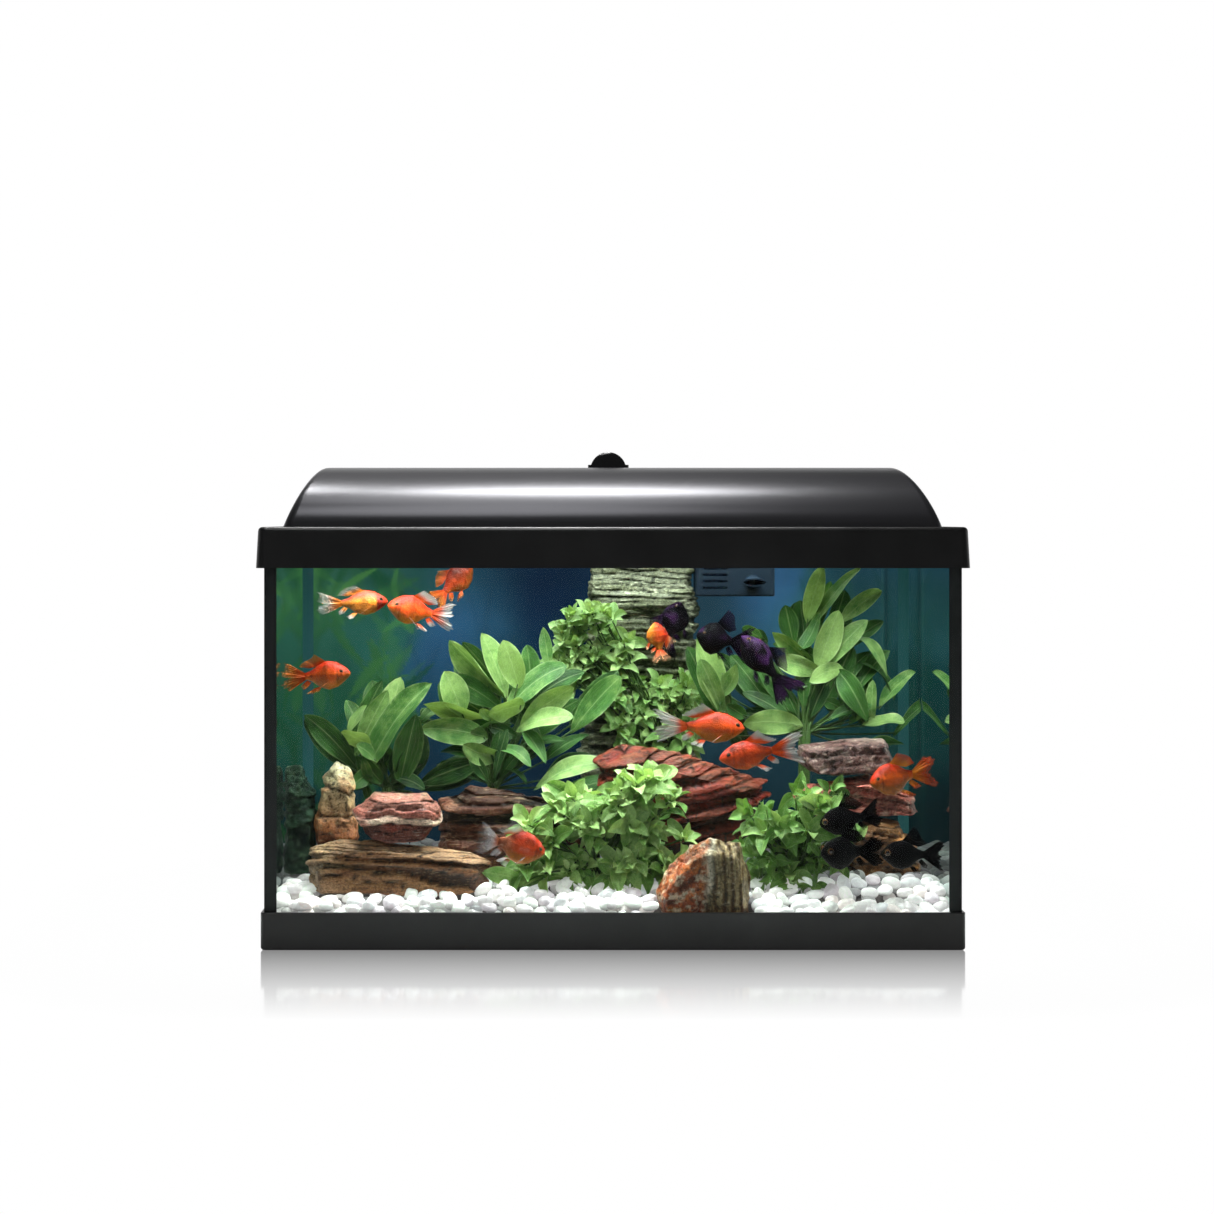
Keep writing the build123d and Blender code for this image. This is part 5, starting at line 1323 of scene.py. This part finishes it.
# ================================================================== fish
def skin(name, gloss, spec):
    """Small overlapping scales. Part.r is 1 on fins, .g runs across their rays, .b is clearness."""
    m = new_material(name)
    col = m.attr("Col")
    fin, ray, clear = list(m.attr_parts("Part"))[:3]
    scales = m.voronoi(900.0)
    mottle = m.noise(120.0, detail=4.0)
    edge = m.remap(scales, span=(0.35, 0.75))
    body = m.tinge(m.math("MULTIPLY", edge, 0.50), col, (0.5, 0.42, 0.4))
    body = m.tinge(m.remap(mottle, span=(0.35, 0.7), to=(0.0, 0.35)), body, (1.25, 1.2, 1.05))
    rays = m.ripple(m.math("MULTIPLY", ray, 9.0))
    web = m.tinge(m.remap(rays, span=(0.0, 0.16), to=(0.35, 0.0)), col, (0.62, 0.55, 0.5))
    both = m.mixc(fin, body, web)
    height = m.mixc(fin, m.math("SUBTRACT", 1.0, scales), rays)
    solid = m.principled(
        Base_Color=both, Roughness=m.remap(fin, span=(0, 1), to=(gloss, 0.45)),
        Normal=m.bump(height, strength=0.6, distance=0.0004), Specular_IOR_Level=spec,
        Subsurface_Weight=0.08, Subsurface_Radius=(0.004, 0.002, 0.001), Subsurface_Scale=1.0)
    lit = m.make("BsdfTranslucent", Color=web)
    gap = m.make("BsdfTransparent", Color=(1, 1, 1))
    surface = m.mix_shader(m.math("MULTIPLY", fin, 0.45), solid, lit)
    clear = m.math("MULTIPLY", fin, clear)
    return m.done(m.mix_shader(m.math("MULTIPLY", clear, 0.9), surface, gap))


def eye_material():
    """Col.r is the distance from the middle of the pupil."""
    m = new_material("fish_eye")
    ring = m.attr_parts("Col")[0]
    n = m.noise(1500.0)
    c = m.ramp(m.math("ADD", ring, m.remap(n, to=(-0.03, 0.03))),
               [(0.0, (0.004, 0.004, 0.005)), (0.48, (0.006, 0.006, 0.007)),
                (0.70, (0.10, 0.05, 0.02)), (0.95, (0.05, 0.02, 0.01))])
    return m.done(m.principled(Base_Color=c, Roughness=0.06, Coat_Weight=1.0, Coat_Roughness=0.02))


ORANGE_SKIN = skin("orange_fish", gloss=0.38, spec=0.30)
BLACK_SKIN = skin("black_fish", gloss=0.55, spec=0.12)
EYE = eye_material()

RED, ORANGE, GOLD = rgb(158, 36, 12), rgb(190, 66, 18), rgb(190, 108, 32)
WHITE, INK, PLUM, ASH = rgb(172, 166, 164), rgb(5, 4, 6), rgb(30, 12, 36), rgb(12, 9, 14)

# way along from the nose; reach above and below as shares of the height, sideways of thickness
FISH_STATIONS = np.array([
    (0, 0, 0, 0), (0.04, 0.13, 0.11, 0.20), (0.14, 0.27, 0.24, 0.42), (0.3, 0.42, 0.42, 0.50),
    (0.5, 0.48, 0.50, 0.48), (0.7, 0.36, 0.40, 0.34), (0.86, 0.19, 0.18, 0.16),
    (1, 0.12, 0.11, 0.07),
])
# breast, belly and rear fins: root ends, edge ends (shares of length, thickness, height); clearness
PAIRED_FINS = (
    (((0.22, 0.42, -0.18), (0.17, 0.45, -0.24), (0.10, 0.95, -0.34), (0.04, 0.75, -0.47)), 0.7),
    (((0.02, 0.22, -0.40), (-0.04, 0.2, -0.40), (-0.05, 0.55, -0.60), (-0.15, 0.4, -0.55)), 0.6),
    (((-0.12, 0.10, -0.22), (-0.17, 0.08, -0.14), (-0.20, 0.2, -0.44), (-0.27, 0.16, -0.34)), 0.6),
)


def fin_part(corners, size, colour, rng, seed, wave, clear, bow=(0, 0, 0), side=1, shift=0.0,
             fork=0.0, rows=16, cols=14):
    """A ribbed sheet between a root line and an outer edge; fork notches the edge.

    corners (two of the root, two of the edge) and bow are shares of size; side mirrors them;
    shift moves the corners in y.
    """
    scale = size * np.array([1, side, 1])
    corners = np.array(corners, float) * scale
    corners[:, 1] += shift
    i = np.linspace(0, 1, cols)[None, :, None]
    j = np.linspace(0, 1, rows)[:, None, None]
    root = corners[0] * (1 - i) + corners[1] * i
    edge = corners[2] * (1 - i) + corners[3] * i
    notch = 1 - fork * np.exp(-((i - 0.5) / 0.22) ** 2)
    pts = root + (edge - root) * j * notch
    pts = pts + np.array(bow) * scale * (np.sin(i * np.pi) * j * (1 - 0.35 * j))
    phase = rng.uniform(0, 6.28)
    across, out = i[..., 0], j[..., 0]
    pts[..., 1] += wave * size[2] * out * np.sin(across * 7.5 + phase + out * 2.0)
    pts[..., 1] += 0.0012 * out * np.sin(across * 55)
    teeth = np.interp((i * 9.0) % 1.0, [0, 0.5, 1], [-0.6, 1.0, -0.6])
    pts = root + (pts - root) * (1 + 0.13 * j * teeth + 0.10 * j * np.sin(i * 5.0 + phase))
    pts = pts.reshape(-1, 3)
    across, out = grid_points(across.ravel(), out.ravel())
    part = np.stack([np.ones(len(pts)), across, clear * smooth(0.10, 0.95, out)], 1)
    return pts, grid_faces(cols, rows), colour(out, fbm(pts * 200, 2, seed + 3)), part


def fish(node, k, slot, mat, seed, where, body, fin, yaw, tail=1.0, tail_height=1.0,
         clear=(0.5, 0.4), dorsal=0.26, eye=0.032, pop=1.0):
    """A double-tailed goldfish.

    where: x, y, z as fractions of the node's box; length, height, thickness in mm; heading in
    degrees. clear: of the tail and the dorsal fin; eye: radius by length; pop: how far eyes bulge.
    """
    rng = np.random.default_rng(seed)
    low, high = box(node)
    centre = low + (high - low) * np.array(where[:3])
    length, height, thick = (value * MM for value in where[3:6])
    size = np.array([length, thick, height])
    # body: egg-shaped sections, nose to tail stalk
    rows, cols = 34, 28
    s = np.linspace(0, 1, rows)
    above, below, wide = (np.interp(s, FISH_STATIONS[:, 0], FISH_STATIONS[:, c]) for c in (1, 2, 3))
    bend = 0.03 * length * np.sin((s - 0.35) * 2.2)
    angle = np.arange(cols) * 2 * np.pi / cols
    up = np.sin(angle)
    pts = np.zeros((rows, cols, 3))
    pts[:, :, 0] = (length * (0.5 - 0.7 * s))[:, None]
    girth = (wide * thick * 1.15)[:, None]
    pts[:, :, 1] = np.cos(angle)[None] * girth * (1 - 0.12 * np.abs(up))[None] + bend[:, None]
    pts[:, :, 2] = up * height * np.where(up > 0, above[:, None], below[:, None])
    # gill cover
    pts[:, :, 1] *= (1 - 0.06 * np.exp(-((s - 0.24) / 0.02) ** 2))[:, None]
    pts = pts.reshape(-1, 3)
    around, along = grid_points(up, s)
    n = fbm(pts * 160 + seed, 3, seed)
    parts = [(pts, grid_faces(cols, rows, wrap=True), body(along, around + n * 0.25, n),
              np.zeros((len(pts), 3)))]

    def add_fin(corners, **options):
        parts.append(fin_part(corners, size, fin, rng, seed, **options))

    for side in (-1, 1):
        # the double tail: an upper and a lower lobe on each side
        lobe = dict(side=side, shift=bend[-1], fork=0.05, wave=0.05, clear=clear[0])
        add_fin(((-0.17, 0, 0.07), (-0.17, 0, -0.02),
                 (-0.47 * tail, 0.30, 0.46 * tail_height), (-0.44 * tail, 0.55, 0.02)),
                bow=(-0.06, 0.10, 0.05), **lobe)
        add_fin(((-0.17, 0, 0.02), (-0.17, 0, -0.08),
                 (-0.44 * tail, 0.50, -0.02), (-0.46 * tail, 0.30, -0.46 * tail_height)),
                bow=(-0.06, 0.10, -0.04), **lobe)
        for corners, clearness in PAIRED_FINS:
            add_fin(corners, side=side, wave=0.03, rows=10, cols=9, clear=clearness)
    add_fin(((0.16, 0, 0.42), (-0.12, 0, 0.26),
             (-0.02, 0, 0.46 + dorsal), (-0.26, 0, 0.27 + dorsal * 0.25)),
            shift=(bend[12], bend[26], bend[14] + 0.02 * height, bend[26] - 0.03 * height),
            bow=(0, 0, 0.05), wave=0.05, rows=14, cols=20, clear=clear[1])
    heading = math.radians(where[6])
    # a fish heading left is flipped to keep its back up
    flip = -1.0 if math.cos(heading) < 0 else 1.0

    def pose(verts):
        verts = turn(verts * np.array([1, 1, flip]), 0, 1, math.radians(yaw))
        return turn(verts, 0, 2, heading) + centre

    verts, faces, colour, part = join_parts(parts)
    ob = mesh_object("%s_%d" % (node, k), pose(verts), faces, mat, Col=colour, Part=part)
    place(ob, slot, node)
    ball, ball_faces = icosphere(3)
    ring = np.repeat(np.sqrt(ball[:, 0] ** 2 + ball[:, 2] ** 2)[:, None], 3, 1)
    eyes = []
    for side in (-1, 1):
        middle = np.array([0.385 * length, side * 0.40 * thick * pop + bend[5], 0.10 * height])
        verts = ball * np.array([1, 0.55 * pop, 1]) * eye * length + middle
        eyes.append((verts, ball_faces, ring))
    verts, faces, colour = join_parts(eyes)
    ob = mesh_object("%s_eyes_%d" % (node, k), pose(verts), faces, EYE, Col=colour)
    place(ob, slot, node)


def orange_body(top=RED, side=ORANGE, belly=GOLD, head=None, tail=None, pale=0.0):
    def colour(s, up, n):
        c = mix(side, top, smooth(0.1, 0.8, up))
        c = mix(c, belly, smooth(-0.1, -0.75, up))
        if head is not None:
            c = mix(c, head, smooth(0.32, 0.22, s + 0.03 * n))
        if tail is not None:
            c = mix(c, tail, smooth(0.62, 0.85, s + 0.08 * n))
        c = mix(c, WHITE, np.clip(pale * smooth(0.2, 0.8, n), 0, 1))
        c = c * (0.62 + 0.55 * smooth(-0.45, 0.35, n))[:, None]
        c = mix(c, rgb(70, 22, 10), 0.5 * smooth(0.25, 0.6, -n) * smooth(-0.2, 0.5, up))
        gill_line = np.exp(-((s - 0.245) / 0.012) ** 2) * (np.abs(up) < 0.8)
        return c * (1 - 0.35 * gill_line)[:, None]
    return colour


def black_body(*sheen):
    def colour(s, up, n):
        c = mix(INK, rgb(*sheen), smooth(-0.3, 0.4, n) * smooth(-0.4, 0.5, up))
        return mix(c, ASH, smooth(-0.2, -0.8, up) * 0.6)
    return colour


def fins(root, edge, start=0.15, stop=0.95):
    def colour(out, n):
        return mix(root, edge, smooth(start, stop, out + 0.12 * n))
    return colour


# (across, deep, up as fractions of the shoal's box; length, height, thickness mm; heading), looks
ORANGE_SHOAL = [
    ((0.110, 0.581, 0.867, 49, 19, 13, 2), dict(
        body=orange_body(head=RED, side=GOLD, belly=rgb(180, 114, 40)), fin=fins(GOLD, WHITE),
        yaw=10, clear=(0.9, 0.9), tail=1.12)),
    ((0.207, 0.733, 0.834, 51, 23, 13, 168), dict(
        body=orange_body(), fin=fins(ORANGE, WHITE, 0.3, 0.9), yaw=-18)),
    ((0.257, 0.943, 0.927, 43, 21, 12, 45), dict(
        body=orange_body(top=rgb(104, 26, 10), side=rgb(140, 46, 16), belly=rgb(160, 78, 28)),
        fin=fins(rgb(196, 72, 26), GOLD), yaw=20)),
    ((0.054, 0.524, 0.616, 51, 22, 13, 5), dict(
        body=orange_body(side=rgb(186, 76, 24)), fin=fins(ORANGE, GOLD), yaw=-10)),
    ((0.647, 0.524, 0.439, 63, 24, 14, -3), dict(
        body=orange_body(side=rgb(194, 70, 18)), fin=fins(ORANGE, WHITE, 0.25, 0.7),
        yaw=12, tail=1.10)),
    ((0.723, 0.200, 0.365, 58, 22, 14, 188), dict(
        body=orange_body(side=rgb(190, 62, 16), belly=ORANGE),
        fin=fins(ORANGE, WHITE, 0.35, 0.85), yaw=-8, tail=1.10, tail_height=1.1)),
    ((0.946, 0.410, 0.272, 49, 25, 14, 190), dict(
        body=orange_body(side=rgb(192, 80, 24), belly=rgb(180, 104, 40)),
        fin=fins(GOLD, ORANGE), yaw=-10)),
    ((0.354, 0.067, 0.063, 51, 25, 14, -15), dict(
        body=orange_body(side=rgb(190, 62, 18), tail=rgb(170, 90, 60), pale=0.15),
        fin=fins(rgb(176, 96, 64), rgb(170, 160, 164), 0.0, 0.5),
        yaw=14, tail=0.95, clear=(0.95, 0.95))),
    ((0.581, 0.905, 0.723, 30, 17, 10, 100), dict(
        body=orange_body(tail=GOLD, pale=0.35), fin=fins(ORANGE, rgb(184, 130, 96), 0.2, 0.9),
        yaw=0, clear=(0.8, 0.8))),
]
JET_FIN = fins(INK, rgb(8, 6, 9))
BLACK_SHOAL = [
    ((0.077, 0.967, 0.901, 40, 23, 8, 70), dict(
        body=black_body(40, 16, 48), fin=fins(PLUM, INK), yaw=15, clear=(0.3, 0.3),
        tail=1.15, dorsal=0.40)),
    ((0.257, 0.861, 0.849, 41, 26, 13, 168), dict(
        body=black_body(32, 13, 40), fin=fins(INK, rgb(24, 10, 30)), yaw=-10, clear=(0.25, 0.25),
        tail=1.15, tail_height=1.2, dorsal=0.45)),
    ((0.408, 0.689, 0.760, 55, 23, 13, 130), dict(
        body=black_body(40, 16, 50), fin=fins(INK, PLUM), yaw=12, clear=(0.25, 0.25),
        tail=1.12, tail_height=1.25, dorsal=0.42)),
    ((0.679, 0.172, 0.189, 44, 22, 12, 192), dict(
        body=black_body(9, 7, 10), fin=JET_FIN, yaw=10, clear=(0.1, 0.1),
        dorsal=0.42, eye=0.055, pop=1.35)),
    ((0.670, 0.049, 0.073, 45, 25, 12, 180), dict(
        body=black_body(10, 8, 12), fin=JET_FIN, yaw=-14, clear=(0.1, 0.1),
        dorsal=0.46, eye=0.06, pop=1.4)),
    ((0.893, 0.115, 0.058, 44, 22, 12, 180), dict(
        body=black_body(9, 7, 10), fin=JET_FIN, yaw=8, clear=(0.1, 0.1),
        dorsal=0.42, eye=0.055, pop=1.35)),
]
for number, (spot, looks) in enumerate(ORANGE_SHOAL):
    fish("orange_goldfish", number, "orange_fish", ORANGE_SKIN, 60 + number, spot, **looks)
for number, (spot, looks) in enumerate(BLACK_SHOAL):
    fish("black_goldfish", number, "black_fish", BLACK_SKIN, 80 + number, spot, **looks)


# ================================================================== printed backdrop
# the sheet's colour gradient: across, up as fractions of the sheet; red, green, blue
SHEET = [
    (0.00, 0.95, 60, 110, 90), (0.02, 0.55, 40, 90, 70), (0.00, 0.05, 14, 44, 50),
    (0.12, 0.80, 44, 96, 84), (0.22, 0.72, 50, 92, 130), (0.24, 0.25, 24, 54, 76),
    (0.44, 0.85, 20, 44, 74), (0.44, 0.35, 20, 44, 66), (0.66, 0.82, 50, 82, 100),
    (0.80, 0.95, 60, 104, 146), (0.74, 0.40, 34, 64, 78), (0.92, 0.80, 50, 98, 104),
    (0.99, 0.50, 32, 80, 80), (0.92, 0.10, 18, 48, 56), (0.50, 0.02, 14, 34, 46),
]


def sheet_material():
    m = new_material("backdrop_print")
    col = m.attr("Col")
    dots = m.noise(1400.0, m.coords(), detail=2.0)
    c = m.tinge(m.remap(dots, to=(0.0, 0.18)), col, (0.8, 0.85, 0.9))
    paper = m.principled(Base_Color=m.times(c, (0.35, 0.35, 0.35)), Roughness=0.4,
                         Specular_IOR_Level=0.2, Normal=m.bump(dots, strength=0.05, distance=0.00005))
    glow = m.make("Emission", Color=c, Strength=0.62)
    return m.done(m.add("AddShader", {0: paper, 1: glow}).outputs[0])


def picture(u, v, aspect):
    """The sheet's colours at u across and v up: gradient, plants, grasses and edge marks."""
    q = np.stack([u, v * aspect, u * 0], 1)
    warped_u = u + 0.035 * fbm(q * 7, 3, 3)
    warped_v = v + 0.06 * fbm(q * 7 + 9, 3, 4)
    total, weights = np.zeros((len(u), 3)), np.zeros(len(u))
    for a, b, *colour in SHEET:
        distance2 = (warped_u - a) ** 2 + ((warped_v - b) * aspect) ** 2
        weight = 1.0 / (distance2 ** 1.6 + 1e-5)
        total += weight[:, None] * rgb(*colour)[None]
        weights += weight
    c = total / weights[:, None] * (1 + 0.20 * fbm(q * 9 + 4, 4, 6))[:, None]
    rng = np.random.default_rng(12)

    def frond(c, x, y, angle, length, width, colour, amount, soft, notches=0.0):
        dx, dy = u - x, (v - y) * aspect
        along = dx * math.cos(angle) + dy * math.sin(angle)
        off = -dx * math.sin(angle) + dy * math.cos(angle)
        off = off - 0.5 * along * along / length * rng.uniform(-0.6, 0.6)
        t = np.clip((along / length + 1) / 2, 0, 1)
        reach = width * np.sin(np.pi * t) ** 0.8
        if notches:
            wave = np.abs(np.sin(along / length * notches + 0.8 * np.sign(off)))
            reach = reach * (0.55 + 0.45 * wave)
        d = np.abs(off) / np.maximum(reach, 1e-5)
        inked = smooth(1.0 + soft, 1.0 - soft, d) * ((t > 0) & (t < 1)) * amount
        return mix(c, colour, inked)

    def ferns(c, count, across, up, dark, light, gain, angle, length, width, amount, notches, soft):
        for _ in range(count):
            x, y = rng.uniform(*across), rng.uniform(*up)
            colour = mix(rgb(*dark), rgb(*light), rng.uniform()) * (0.55 + gain * y)
            c = frond(c, x, y, rng.uniform(*angle), rng.uniform(*length), rng.uniform(*width),
                      colour, rng.uniform(*amount), notches=rng.uniform(*notches), soft=soft)
        return c

    # feathery plants at the left and right, soft and out of focus
    c = ferns(c, 70, across=(-0.02, 0.16), up=(0.05, 1.02), dark=(30, 84, 60), light=(84, 142, 76),
              gain=0.5, angle=(0.5, 2.4), length=(0.03, 0.08), width=(0.006, 0.015),
              amount=(0.40, 0.85), notches=(14, 26), soft=0.4)
    c = ferns(c, 36, across=(0.84, 1.02), up=(0.1, 1.0), dark=(28, 78, 74), light=(72, 128, 104),
              gain=0.45, angle=(1.1, 2.0), length=(0.04, 0.10), width=(0.005, 0.012),
              amount=(0.12, 0.32), notches=(8, 18), soft=0.5)
    # tall grasses far behind, dark against the blue
    for _ in range(46):
        x = rng.uniform(0.12, 0.9)
        colour = mix(rgb(14, 38, 58), rgb(52, 92, 110), rng.uniform())
        c = frond(c, x, rng.uniform(0.15, 0.75), angle=rng.uniform(1.25, 1.9),
                  length=rng.uniform(0.05, 0.15), width=rng.uniform(0.003, 0.010),
                  colour=colour, amount=rng.uniform(0.10, 0.32), soft=0.7)
    # a dark blurred wreck of rock behind the centre, and the sheet's lap at the right
    wreck = np.exp(-(((warped_u - 0.455) / 0.05) ** 2 + ((warped_v - 0.62) / 0.4) ** 2))
    c = mix(c, rgb(14, 30, 52), 0.6 * wreck)
    c = mix(c, rgb(96, 150, 140), 0.20 * np.exp(-((u - 0.972) / 0.0016) ** 2))
    c = mix(c, rgb(16, 44, 50), 0.5 * np.exp(-((u - 0.978) / 0.003) ** 2))
    # painted shade: the sheet darker towards its foot; it is also darker near the right edge
    light = (0.50 + 0.50 * smooth(0.0, 0.5, v))[:, None]
    return c * light * (1 - 0.34 * smooth(0.84, 0.92, u))[:, None]


def printed_sheet():
    low, high = box("backdrop_film")
    width, height = high[0] - low[0], high[2] - low[2]
    aspect = height / width
    across, up = 420, 250
    u, v = grid_points(np.linspace(0, 1, across), np.linspace(0, 1, up))
    waves = fbm(np.stack([u, v * aspect, u * 0], 1) * 12, 2, 8)
    pts = np.stack([low[0] + u * width, low[1] + 0.00006 * waves, low[2] + v * height], 1)
    ob = mesh_object("backdrop_picture", pts, grid_faces(across, up)[:, ::-1].copy(),
                     sheet_material(), Col=picture(u, v, aspect))
    place(ob, "backdrop_print", "backdrop_film")
    # its plain dark back, with the slight waves of a taped sheet
    across, up = 120, 70
    u, v = grid_points(np.linspace(0, 1, across), np.linspace(0, 1, up))
    waves = fbm(np.stack([u * 3, v * 2, u * 0], 1), 3, 18)
    pts = np.stack([low[0] + u * width, high[1] + 0.00010 * waves, low[2] + v * height], 1)
    back = plastic("backdrop_back", rgb(38, 44, 52), rough=0.55, grain=1200, depth=0.00003, var=0.08)
    ob = mesh_object("backdrop_back", pts, grid_faces(across, up), back)
    place(ob, "backdrop_print", "backdrop_film")


printed_sheet()


# ================================================================== water's surface
def water_material():
    m = new_material("water_surface")
    waves = m.noise(42.0, m.coords(scale=(1, 1, 0.2)), detail=2.0, distort=0.6)
    fresnel = m.make("Fresnel", IOR=1.33, Normal=m.bump(waves, strength=0.25, distance=0.002))
    clear = m.make("BsdfTransparent", Color=(0.90, 0.97, 0.97))
    mirror = m.make("BsdfGlossy", Color=(0.9, 0.97, 1.0), Roughness=0.03,
                    Normal=m.bump(waves, strength=0.25, distance=0.002))
    return m.done(m.mix_shader(fresnel, clear, mirror))


def water():
    """A faintly rippled sheet that climbs a little up the glass."""
    gap = 0.0004
    across, along = 180, 90
    (x0, y0), (x1, y1) = INNER_LO + gap, INNER_HI - gap
    level = box("filter_head")[1][2] - 0.0002
    x, y = grid_points(np.linspace(x0, x1, across), np.linspace(y0, y1, along))
    pts = np.stack([x, y, x * 0], 1)
    edge = np.minimum(np.minimum(x - x0, x1 - x), np.minimum(y - y0, y1 - y))
    pts[:, 2] = level + 0.00035 * fbm(pts * 45, 3, 2) + 0.0016 * np.exp(-edge / 0.0018)
    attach(mesh_object("water_surface", pts, grid_faces(across, along), water_material()), "tank")


water()


# ================================================================== light, floor and camera
def area(name, at, target, size, power, col=(1, 1, 1), glossy=True, diffuse=True,
         shape="RECTANGLE"):
    """An area lamp, unseen by the camera, aimed at a target."""
    lamp = bpy.data.lights.new(name, "AREA")
    lamp.shape = shape
    lamp.size, lamp.size_y = size
    lamp.energy = power
    lamp.color = col
    ob = bpy.data.objects.new(name, lamp)
    bpy.context.scene.collection.objects.link(ob)
    ob.location = at
    ob.rotation_euler = (Vector(target) - ob.location).to_track_quat("-Z", "Y").to_euler()
    ob.visible_camera = False
    ob.visible_glossy = glossy
    ob.visible_diffuse = diffuse


# the flat lid mirrors what stands behind it: a soft lamp gives its long highlight,
# a small one the left end's
area("key_back", at=(-0.022, 0.515, 1.420), target=(-0.022, 0.0, 0.335), size=(0.46, 0.36),
     power=10.2, shape="ELLIPSE")
area("key_back_long", at=(-0.34, 0.56, 1.39), target=(-0.05, 0.0, 0.335), size=(0.50, 0.20),
     power=0.5)
area("key_back_left", at=(-0.400, 0.62, 1.33), target=(-0.235, 0.0, 0.33), size=(0.07, 0.22),
     power=2.4, shape="ELLIPSE")
# seen only in reflections
area("key_over", at=(-0.11, 0.04, 1.50), target=(-0.05, 0.0, 0.335), size=(0.50, 0.62),
     power=2.6, diffuse=False, shape="ELLIPSE")
area("key_fore", at=(-0.14, -0.55, 1.35), target=(-0.05, -0.05, 0.33), size=(0.54, 0.80),
     power=4.8, diffuse=False, shape="ELLIPSE")
# soft fills, and two lamps under the hood, none of them mirrored
area("fill_front", at=(-0.25, -1.9, 1.05), target=(0.0, 0.0, 0.12), size=(1.2, 0.7),
     power=8.6, glossy=False)
area("fill_right", at=(1.5, -0.7, 0.9), target=(0.0, 0.0, 0.15), size=(0.8, 0.8),
     power=2.0, glossy=False)
area("inside_top", at=(0.0, -0.072, 0.297), target=(0.0, -0.060, 0.0), size=(0.46, 0.06),
     power=4.3, col=(1.0, 1.0, 0.96), glossy=False)
area("inside_rear", at=(0.0, 0.060, 0.297), target=(0.0, 0.050, 0.0), size=(0.44, 0.05),
     power=1.3, col=(0.96, 1.0, 0.98), glossy=False)


def studio_world():
    """White to the camera; a dim room with a white screen behind to everything else."""
    world = bpy.data.worlds.new("studio")
    bpy.context.scene.world = world
    w = Graph(world, "ShaderNodeOutputWorld")
    rays = w.add("LightPath").outputs
    direction = w.add("SeparateXYZ", {0: w.add("TexCoord").outputs["Generated"]}).outputs
    behind = w.remap(direction["Y"], span=(-0.15, 0.25))
    up = w.math("ABSOLUTE", direction["Z"], 0.0)
    across = w.remap(direction["X"], span=(-0.02, 0.14), to=(1.0, 0.22))
    low = w.math("MAXIMUM", w.remap(up, span=(0.235, 0.275), to=(1.0, 0.0)),
                 w.math("MULTIPLY", w.remap(up, span=(0.22, 0.90), to=(0.30, 0.02)), across))
    screen = w.math("MULTIPLY", behind, low)
    diffuse = rays["Is Diffuse Ray"]
    room = w.remap(diffuse, span=(0.0, 1.0), to=(0.040, 0.15))
    screen = w.math("MULTIPLY", screen, w.remap(diffuse, span=(0.0, 1.0), to=(1.0, 0.30)))
    dim = w.make("Background", Strength=w.math("MAXIMUM", room, screen), Color=(1, 1, 1))
    white = w.make("Background", Color=(1, 1, 1), Strength=1.0)
    w.done(w.mix_shader(rays["Is Camera Ray"], dim, white))


studio_world()


def floor():
    """White table that mirrors the base for a hand's breadth and then fades out."""
    m = new_material("studio_floor")
    rays = m.add("LightPath").outputs
    place_at = m.position()

    def beyond(axis, half):
        past = m.math("SUBTRACT", m.math("ABSOLUTE", place_at[axis]), half)
        return m.math("MAXIMUM", past, 0.0)

    dx = beyond("X", float(REST[1][0]) - 0.006)
    dy = beyond("Y", float(-REST[0][1]))
    distance = m.math("SQRT", m.math("ADD", m.math("MULTIPLY", dx, dx), m.math("MULTIPLY", dy, dy)))
    mirror = m.math("MULTIPLY", m.remap(m.facing(), span=(0.45, 0.82), to=(0.08, 0.76)),
                    m.remap(distance, span=(0.0, 0.215), to=(1.0, 0.0)))
    cloud = m.noise(3.0, detail=3.0)
    rough = m.math("ADD", m.remap(cloud, to=(0.020, 0.030)), m.math("MULTIPLY", distance, 0.5))
    white = m.make("Emission", Color=(1, 1, 1), Strength=1.0)
    gloss = m.make("BsdfGlossy", Color=(1.0, 1.0, 1.0), Roughness=rough)
    seen = m.mix_shader(mirror, white, gloss)
    matt = m.make("BsdfDiffuse", Color=(0.8, 0.8, 0.8))
    mat = m.done(m.mix_shader(rays["Is Camera Ray"], matt, seen))
    half, z = 12.0, REST[0][2] - 0.0003
    pts = np.array([(-half, -half, z), (half, -half, z), (half, half, z), (-half, half, z)])
    mesh_object("studio_floor", pts, np.array([[0, 1, 2, 3]]), mat)


floor()


def camera():
    """Square to the front, the frame shifted across and down."""
    view = bpy.data.cameras.new("view")
    view.lens = 66.24
    view.sensor_width = 36.0
    view.clip_start = 0.05
    view.clip_end = 60
    view.shift_x = 0.04036244
    view.shift_y = -0.07397035
    ob = bpy.data.objects.new("view", view)
    bpy.context.scene.collection.objects.link(ob)
    ob.location = (-0.0394, -1.725, 0.310)
    ob.rotation_euler = (math.pi / 2, 0.0, 0.0)
    bpy.context.scene.camera = ob


camera()

scene = bpy.context.scene
scene.view_settings.view_transform = "Standard"
scene.view_settings.look = "None"
scene.cycles.transparent_max_bounces = 24
scene.cycles.max_bounces = 10
scene.cycles.sample_clamp_indirect = 6.0
